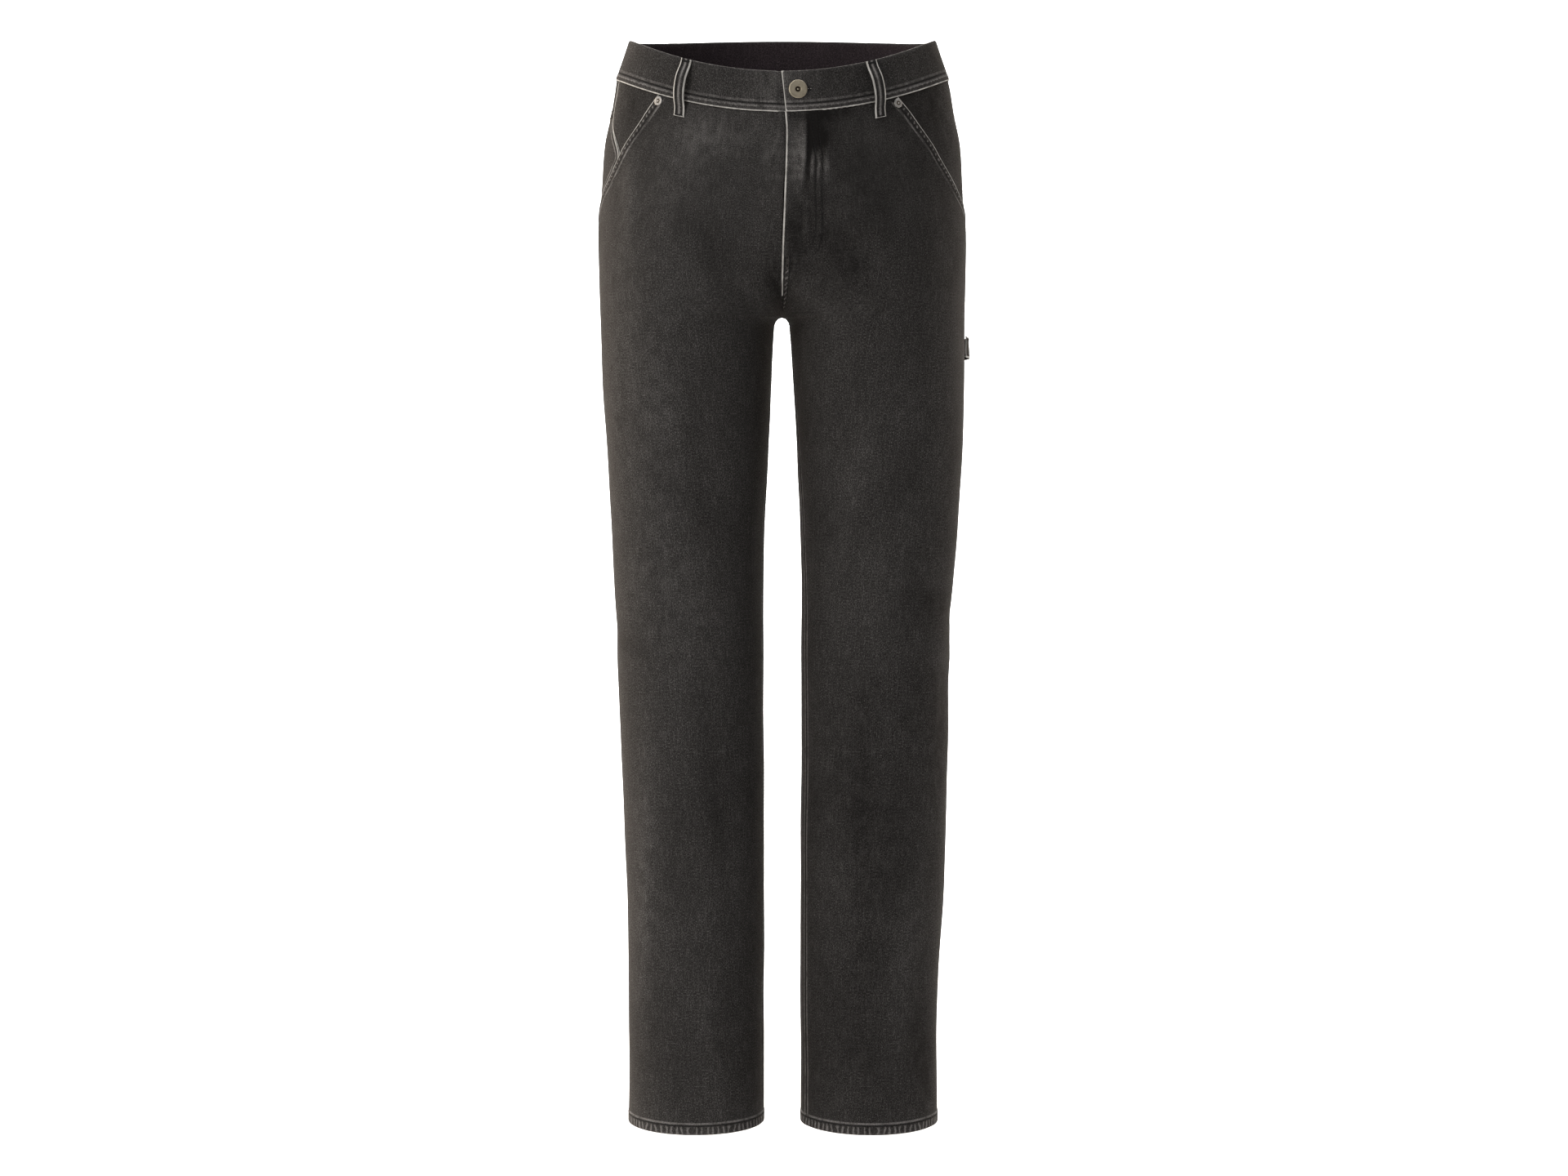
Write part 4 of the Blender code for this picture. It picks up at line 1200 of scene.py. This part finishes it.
def belt_loop_cloth(name, side, along_mm):
    run = run_along(LOOP_RUN, LOOP_ROWS)

    def place(column, row):
        level, out = run[row].T
        across = LOOP_WIDTH * (column / STRAP_COLUMNS - 0.5)
        out = out + strap_ridges(across, LOOP_WIDTH)
        if side is None:
            points, facing = on_form(LEFT, level, loop_middle(LEFT, level, None) - np.abs(across), out)
            points[:, 0] = across
        else:
            points, facing = on_form(side, level, loop_middle(side, level, along_mm) + across, out)
        from_side = LOOP_WIDTH / 2 - np.abs(across)
        from_tack = np.minimum(np.abs(level - LOOP_TACKS[0]), np.abs(level - LOOP_TACKS[1]))
        edge = np.minimum(np.abs(from_side - STRAP_EDGE), np.abs(level - LOOP_FOOT)) + 0.1 * MM
        stitch = np.minimum(np.abs(from_side - LOOP_ROW), from_tack)
        wear_and_shade = np.where(np.abs(across) < LOOP_ROW / 2, LOOP_WEAR, -LOOP_WEAR)
        return points, facing, {"across": across, "down": level, "edge": edge, "stitch": stitch, "run": level,
                                "ridge": np.abs(across), "wear_and_shade": wear_and_shade}

    piece = lay_cloth(f"{name}_cloth", STRAP_COLUMNS, len(run) - 1, place, STRAP_WALL)
    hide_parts(name)
    return piece


def hammer_loop_cloth():
    run = run_along(HAMMER_RUN, HAMMER_ROWS)

    def place(column, row):
        along, out = run[row].T
        across = HAMMER_WIDTH * (column / STRAP_COLUMNS - 0.5)
        down_run = row / (len(run) - 1)
        level = HAMMER_LEVEL - across + HAMMER_SLOPE * down_run
        out = STRAP_WALL + (out - STRAP_WALL) * (1 + HAMMER_BAGS * column / STRAP_COLUMNS)
        out = out + strap_ridges(across, HAMMER_WIDTH)
        points, facing = on_form(LEFT, level, along, out)
        from_side = HAMMER_WIDTH / 2 - np.abs(across)
        from_end = np.minimum(np.abs(along - run[0, 0]), np.abs(along - run[-1, 0]))
        edge = np.minimum(np.abs(from_side - STRAP_EDGE), from_end)
        stitch = np.minimum(np.abs(from_side - HAMMER_ROW), np.abs(along - HAMMER_TACK))
        return points, facing, {"across": level, "down": along, "edge": edge, "stitch": stitch, "run": along,
                                "wear_and_shade": np.full(len(row), HAMMER_WEAR)}

    piece = lay_cloth("hammer_loop_cloth", STRAP_COLUMNS, len(run) - 1, place, STRAP_WALL)
    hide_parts("hammer_loop")
    return piece


straps = [belt_loop_cloth(*row) for row in LOOPS] + [hammer_loop_cloth()]
print("straps:", [len(piece.data.polygons) for piece in straps])

# %% [markdown]
# ## Behind the fly
# The zip's tape and the shield behind it are seen only from inside, down through the waist. They are two
# plain strips laid a little under the left front.

# %% The zip tape and the shield
ZIP_FROM, ZIP_WIDTH, SHIELD_WIDTH, SHIELD_LAP = 3 * MM, 26 * MM, 40 * MM, 6 * MM
STRIP_FOOT, STRIP_WALL, STRIP_GAP, STRIP_ROW = -192 * MM, 0.9 * MM, 0.75 * MM, 4 * MM


def fly_strip(name, node, first, last, depth):
    columns, rows = np.linspace(first, last, 15), cells([(TOP, 1), (STRIP_FOOT, 3 * MM)])

    def place(column, row):
        level, off = rows[row], columns[column]
        points, facing = np.zeros((len(row), 3)), np.zeros((len(row), 3))
        for side in (LEFT, RIGHT):
            mine = (off >= 0) == (side == LEFT)
            along = ends_at(side, level[mine])[0] + np.abs(off[mine])
            points[mine], facing[mine] = on_form(side, level[mine], along, depth)
        edge = np.minimum(off - first, last - off)
        return points, facing, {"across": off, "down": level, "edge": edge,
                                "stitch": np.abs(edge - STRIP_ROW), "run": level}

    piece = lay_cloth(name, len(columns) - 1, len(rows) - 1, place, STRIP_WALL)
    piece.data.materials[0] = INSIDE
    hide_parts(node)
    return piece


zip_depth = -WALL - STRIP_GAP
shield_depth = zip_depth - STRIP_WALL - STRIP_GAP
strips = [
    fly_strip("zip_tape_cloth", "zip_tape", ZIP_FROM, ZIP_FROM + ZIP_WIDTH, zip_depth),
    fly_strip("fly_shield_cloth", "fly_shield", -SHIELD_LAP, SHIELD_WIDTH, shield_depth),
]
print("strips behind the fly:", [len(piece.data.polygons) for piece in strips])

# %% [markdown]
# ## Stitches
# The thread is black, so it shows as small dark beads sunk in the cloth, with the pale puckers of the wash
# between them. One stitch is a tiny ball stretched along the seam. Thousands are needed, so each has only
# twenty faces.

# %% Thread and a helper that sews
STITCH_PITCH, STITCH_LENGTH = 3.4 * MM, 2.7 * MM
THREAD_WIDTH, THREAD_HEIGHT = 0.34 * MM, 0.26 * MM


def thread(name, colour):
    made, shader, start = new_material(name, colour, 0.6)
    fibre = noise(start, in_place(start), 2600, 2, 0.6)
    dark, pale = ([value * share for value in colour] for share in (0.6, 1.5))
    feed(shader, mix(start, fibre, dark, pale), "Base Color")
    feed(shader, fibre * 0.3 + 0.55, "Roughness")
    shader.inputs["Specular IOR Level"].default_value = 0.1
    bump(shader, fibre * 0.0001)
    return made


THREAD = thread("black_thread", (0.010, 0.0098, 0.0098))


def sew(name, rows, material=THREAD, pitch=STITCH_PITCH, length=STITCH_LENGTH, width=THREAD_WIDTH,
        sunk=0.05 * MM):
    """Sews rows of stitches: each is a side, a line, and stand(side, level, along) for the cloth's face."""
    bm, scrap = bmesh.new(), bpy.data.meshes.new("one_row")
    for side, line, stand in rows:
        one_row = bmesh.new()
        runs = runs_of(line)
        starts = np.arange(0.5 * MM, runs[-1] - length, pitch)
        ends = []
        for at in (starts, starts + length):
            level, along = (np.interp(at, runs, line[:, axis]) for axis in (0, 1))
            ends.append(on_form(side, level, along, stand(side, level, along) - sunk))
        for first, last, up in zip(ends[0][0], ends[1][0], ends[0][1]):
            forward = Vector(last - first)
            sideways = Vector(up).cross(forward).normalized()
            upward = forward.cross(sideways).normalized()
            turn = Matrix((forward.normalized(), sideways, upward)).transposed().to_4x4()
            size = Matrix.Diagonal((forward.length / 2, width, THREAD_HEIGHT, 1))
            middle = Matrix.Translation(Vector(first + last) / 2)
            bmesh.ops.create_icosphere(one_row, subdivisions=1, radius=1, matrix=middle @ turn @ size)
        one_row.to_mesh(scrap)
        one_row.free()
        bm.from_mesh(scrap)
    bpy.data.meshes.remove(scrap)
    piece = smooth_piece(name, bm, material)
    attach(piece, "root")
    print(name, len(piece.data.polygons))


def hem_face(side, level, along):
    return hem_stand(level) + creases(side, level, along)


def yoke_face(side, level, along):
    return creases(side, level, along) + YOKE_RISE


for side in (LEFT, RIGHT):
    lines = FRONT_ROWS[side]
    sewn = [(side, lines[FRONT_HEM], hem_face)]
    sewn += [(side, line, front_stand) for line in lines[:FRONT_HEM] + lines[FRONT_HEM + 1:]]
    sewn += [(side, line, back_stand) for line in BACK_ROWS[side][1:]]
    sewn += [(side, yoke_line(side, YOKE_ROW + off), yoke_face) for off in (0, YOKE_ROW_SPREAD)]
    sew(f"stitches_{SIDE_NAMES[side]}", sewn)

# %% Stitches on the band and the loops
BAND_FACE = 0.75 * MM
SEAM_STITCH_PITCH, SEAM_STITCH_LENGTH = 5.4 * MM, 3.9 * MM
TACK_PITCH, TACK_LENGTH, TACK_WIDTH = 1.0 * MM, 0.85 * MM, 1.1 * MM
TACK_LEVELS = (-2.6 * MM, -53.2 * MM)
# How far the rows down a loop and the tacks across it reach from its middle
LOOP_ROW_OFF, TACK_REACH = LOOP_WIDTH / 2 - LOOP_ROW, LOOP_WIDTH / 2 - 0.8 * MM


def band_line(side, level, first=0.0, last=1.0):
    start, end = ends_at(side, level)
    along = start + (end - start) * np.linspace(first, last, 160)
    return line_of(np.full(len(along), level), along)


def face_at(out):
    """A face that stands the same distance out everywhere."""
    return lambda side, level, along: np.full(len(level), out)


def loop_face(side, level, along):
    """The outer face of a belt loop beside its folded edge."""
    run = run_along(LOOP_RUN, LOOP_ROWS)[::-1]
    return np.interp(level, run[:, 0], run[:, 1]) + 0.35 * MM


sew("stitches_band", [(side, band_line(side, BAND_GROOVE), face_at(BAND_FACE)) for side in (LEFT, RIGHT)])
sides, tacks = [], []
for name, loop_side, along_mm in LOOPS:
    halves = [(loop_side, along_mm, (-1, 1))] if loop_side else [(LEFT, None, (-1,)), (RIGHT, None, (-1,))]
    for side, at, ways in halves:
        levels = np.linspace(-5 * MM, -51 * MM, 24)
        middle = loop_middle(side, levels, at)
        sides += [(side, line_of(levels, middle + way * LOOP_ROW_OFF), loop_face) for way in ways]
        for level in TACK_LEVELS:
            spread = np.linspace(ways[0], 0 if at is None else 1, 12) * TACK_REACH
            along = loop_middle(side, level, at) + spread
            tacks.append((side, line_of(np.full(len(along), level), along), loop_face))
sew("stitches_loops", sides)
sew("tacks_loops", tacks, pitch=TACK_PITCH, length=TACK_LENGTH, width=TACK_WIDTH)
PALE_THREAD = thread("rubbed_thread", (0.26, 0.25, 0.235))
SEAM_THREAD_LEVEL, SEAM_THREAD_FROM, SEAM_THREAD_TO = -38.6 * MM, 0.03, 0.235
seam = band_line(LEFT, SEAM_THREAD_LEVEL, SEAM_THREAD_FROM, SEAM_THREAD_TO)
sew("seam_thread", [(LEFT, seam, face_at(BAND_FACE))], PALE_THREAD, SEAM_STITCH_PITCH, SEAM_STITCH_LENGTH)

# %% The end of the buttonhole, beside the button
HOLE_LEVEL, HOLE_FROM, HOLE_TO, HOLE_EDGE, HOLE_FACE = -18 * MM, 20 * MM, 27.5 * MM, 1.2 * MM, 1.05 * MM


def hole_row(above, first=HOLE_FROM):
    """A row a distance above the slit, from the button to the hole's far end."""
    start = ends_at(LEFT, HOLE_LEVEL)[0]
    line = line_of(np.full(2, HOLE_LEVEL + above), start + np.array([first, HOLE_TO]))
    return LEFT, line, face_at(HOLE_FACE)


sew("buttonhole_edge", [hole_row(-HOLE_EDGE), hole_row(HOLE_EDGE)], pitch=0.75 * MM, length=0.6 * MM,
    width=0.75 * MM)
sew("buttonhole_slit", [hole_row(0)], pitch=HOLE_TO, length=6.6 * MM, width=0.7 * MM, sunk=0.12 * MM)
sew("buttonhole_ends", [hole_row(0.2 * MM, HOLE_FROM + 2.2 * MM)], PALE_THREAD, pitch=2.4 * MM,
    length=1.3 * MM, width=0.5 * MM, sunk=-0.1 * MM)

# %% [markdown]
# ## Metal
# The waist button is a pressed shell over a tack: a broad ring that dips to a small hole, where the head of
# the tack shows. The rivets are a flat burr round a nub. Each is turned from its outline, as it would
# be on a lathe.

# %% The button and the rivets
BUTTON_LEVEL, BUTTON_FROM_MIDDLE = -18 * MM, 13.5 * MM
RIVET_LEVEL, RIVET_FROM_MOUTH = -44.5 * MM, 5.5 * MM
# Outlines: the distance from the axis and the height over the cloth, in millimetres
BUTTON_OUTLINE = (
    (0, 0.1), (3.6, 0.1), (3.6, 1.2), (7.6, 1.3), (8.55, 1.7), (8.8, 2.2), (8.7, 2.75), (8.35, 3.05),
    (7.9, 3.15), (7.2, 3.1), (5.2, 3.05), (3.4, 3.0), (2.9, 2.95), (2.6, 2.7), (2.45, 2.2), (2.3, 1.2),
    (1.5, 0.9), (1.2, 1.3), (1.0, 1.9), (0.5, 2.1), (0, 2.15),
)
RIVET_OUTLINE = (
    (0, 0.1), (4.1, 0.1), (4.4, 0.35), (4.4, 0.8), (4.15, 1.15), (3.6, 1.3), (2.6, 1.35), (2.1, 1.2),
    (1.75, 1.0), (1.2, 1.05), (0.95, 1.4), (0.6, 1.65), (0, 1.72),
)
LATHE_STEPS = 72


def worn_metal(name, bright, dull, roughness):
    """Nickel that has gone grey, with a fine turned grain and darker hollows."""
    made, shader, start = new_material(name, bright, roughness, 1.0)
    tarnish = noise(start, in_place(start), 260, 3, 0.6)
    pits = noise(start, in_place(start), 2400, 2, 0.6)
    feed(shader, mix(start, tarnish.step(0.30, 0.62) * 0.7 + pits * 0.3, dull, bright), "Base Color")
    feed(shader, tarnish * 0.25 + pits * 0.15 + roughness - 0.15, "Roughness")
    bump(shader, pits * 0.00006)
    return made


BUTTON_METAL = worn_metal("aged_nickel", (0.33, 0.29, 0.22), (0.24, 0.21, 0.16), 0.38)
RIVET_METAL = worn_metal("grey_nickel", (0.34, 0.325, 0.31), (0.20, 0.19, 0.18), 0.4)
HOLLOW_METAL = worn_metal("tarnished_nickel", (0.07, 0.055, 0.04), (0.03, 0.025, 0.02), 0.4)


def turned(name, node, outline_mm, side, level, along, rise, metal, hollow):
    """Turns an outline on its axis and seats it on the cloth. Faces within the hollow's radius, except the
    nub's, are tarnished."""
    bm = bmesh.new()
    corners = [bm.verts.new((radius * MM, 0, height * MM)) for radius, height in outline_mm]
    edges = [bm.edges.new(pair) for pair in zip(corners, corners[1:])]
    bmesh.ops.spin(bm, geom=corners + edges, axis=(0, 0, 1), cent=(0, 0, 0), steps=LATHE_STEPS,
                   angle=math.tau, use_merge=True)
    bmesh.ops.remove_doubles(bm, verts=bm.verts, dist=0.01 * MM)
    bmesh.ops.recalc_face_normals(bm, faces=bm.faces)
    for face in bm.faces:
        centre = face.calc_center_median()
        face.material_index = int(hollow[0] < centre.xy.length < hollow[1] and centre.z > hollow[2])
    seat, facing = on_form(side, np.array([level]), np.array([along]), np.array([rise]))
    turn = Vector(facing[0]).to_track_quat("Z", "Y").to_matrix().to_4x4()
    bmesh.ops.transform(bm, matrix=Matrix.Translation(Vector(seat[0])) @ turn, verts=bm.verts)
    piece = smooth_piece(name, bm, metal, HOLLOW_METAL)
    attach(piece, "root")
    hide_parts(node)
    print(name, len(piece.data.polygons))


# The hollow lies between two distances from the axis, and over a height
BUTTON_HOLLOW, RIVET_HOLLOW = (1.05 * MM, 2.65 * MM, 0.5 * MM), (0.9 * MM, 2.3 * MM, 0.5 * MM)
BUTTON_SEAT, RIVET_SEAT = 1.1 * MM, 0.8 * MM
button_along = float(ends_at(LEFT, BUTTON_LEVEL)[0]) + BUTTON_FROM_MIDDLE
turned("button_shell", "waist_button", BUTTON_OUTLINE, LEFT, BUTTON_LEVEL, button_along, BUTTON_SEAT,
       BUTTON_METAL, BUTTON_HOLLOW)
for side in (LEFT, RIGHT):
    name = SIDE_NAMES[side]
    rivet_along = float(pocket_mouth(side, RIVET_LEVEL)) - RIVET_FROM_MOUTH
    turned(f"rivet_cap_{name}", f"pocket_rivet_{name}", RIVET_OUTLINE, side, RIVET_LEVEL, rivet_along,
           RIVET_SEAT, RIVET_METAL, RIVET_HOLLOW)

# %% [markdown]
# ## Floor, light and camera
# The pair hangs above a white floor that curves up into a white wall, and large soft lights leave almost no
# shadow. The wall stands far enough back for a camera that looks from behind. The camera stands a little
# above the hips and looks slightly down.

# %% Stage and camera
FLOOR_LEVEL = HEM - 110 * MM
FLOOR_FRONT, FLOOR_BACK, STAGE_WIDTH, WALL_HEIGHT = -5.0, 3.6, 8.0, 3.6
SWEEP_RADIUS, SWEEP_STEPS = 0.8, 12


def backdrop():
    bm = bmesh.new()
    front = [bm.verts.new((x, FLOOR_FRONT, FLOOR_LEVEL)) for x in (-STAGE_WIDTH / 2, STAGE_WIDTH / 2)]
    edge = bm.edges.new(front)

    def pull(edges, way):
        grown = bmesh.ops.extrude_edge_only(bm, edges=edges)["geom"]
        corners = [part for part in grown if isinstance(part, bmesh.types.BMVert)]
        bmesh.ops.translate(bm, vec=way, verts=corners)
        return [part for part in grown if isinstance(part, bmesh.types.BMEdge) and len(part.link_faces) == 1
                and abs(part.verts[0].co.x - part.verts[1].co.x) > STAGE_WIDTH / 2]

    edges = pull([edge], (0, FLOOR_BACK - FLOOR_FRONT, 0))
    for step in range(SWEEP_STEPS):
        low, high = (math.radians(90 * (step + end) / SWEEP_STEPS) for end in (0, 1))
        edges = pull(edges, (0, SWEEP_RADIUS * (math.sin(high) - math.sin(low)),
                             SWEEP_RADIUS * (math.cos(low) - math.cos(high))))
    pull(edges, (0, 0, WALL_HEIGHT))
    bmesh.ops.recalc_face_normals(bm, faces=bm.faces)
    made, shader, start = new_material("white_paper", (0.9, 0.9, 0.9), 0.9)
    feed(shader, mix(start, noise(start, in_place(start), 3.0), (0.89,) * 3, (0.91,) * 3), "Base Color")
    piece = smooth_piece("backdrop", bm, made)


backdrop()

# %% Lights and the camera
# The name, the place, the point it faces, its width and height in metres, its power in watts and its colour
LIGHTS = (
    ("key", (-2.6, -2.7, 1.0), (0, 0, -0.5), 2.0, 2.6, 100, (1.0, 0.97, 0.93)),
    ("fill", (2.4, -2.9, 0.4), (0, 0, -0.5), 2.6, 2.6, 4, (0.98, 0.99, 1.0)),
    ("left_rim", (-2.1, 0.9, -0.2), (0, 0, -0.5), 1.4, 2.4, 56, (1.0, 0.85, 0.68)),
    ("right_rim", (2.1, 0.9, -0.2), (0, 0, -0.5), 1.4, 2.4, 16, (1.0, 0.88, 0.74)),
    ("floor_wash", (0, 0.6, 1.9), (0, 2.6, 0.2), 3.0, 1.0, 150, (1.0, 1.0, 1.0)),
    ("wall_wash", (0, 2.4, 1.9), (0, 4.4, 0.0), 4.0, 1.0, 240, (1.0, 1.0, 1.0)),
)
for name, at, towards, width, height, power, colour in LIGHTS:
    lamp = bpy.data.lights.new(name, "AREA")
    lamp.shape, lamp.size, lamp.size_y = "RECTANGLE", width, height
    lamp.energy, lamp.color = power, colour
    light = in_scene(name, lamp)
    light.location = at
    light.visible_camera = False
    light.rotation_euler = (Vector(towards) - Vector(at)).to_track_quat("-Z", "Y").to_euler()

WORLD_STRENGTH = 0.42
world = bpy.data.worlds.new("white_studio")
world.use_nodes = True
background = world.node_tree.nodes["Background"]
background.inputs["Color"].default_value = (1, 1, 1, 1)
background.inputs["Strength"].default_value = WORLD_STRENGTH
bpy.context.scene.world = world
bpy.context.scene.view_settings.view_transform = "Standard"

CAMERA_AT, CAMERA_TILT, CAMERA_LENS = (0.0016, -3.2, -0.3315), 3.594, 75
camera = in_scene("camera", bpy.data.cameras.new("camera"))
camera.data.lens = CAMERA_LENS
camera.location = CAMERA_AT
camera.rotation_euler = (math.radians(90 - CAMERA_TILT), 0, 0)
bpy.context.scene.camera = camera
print("lights:", len(LIGHTS))
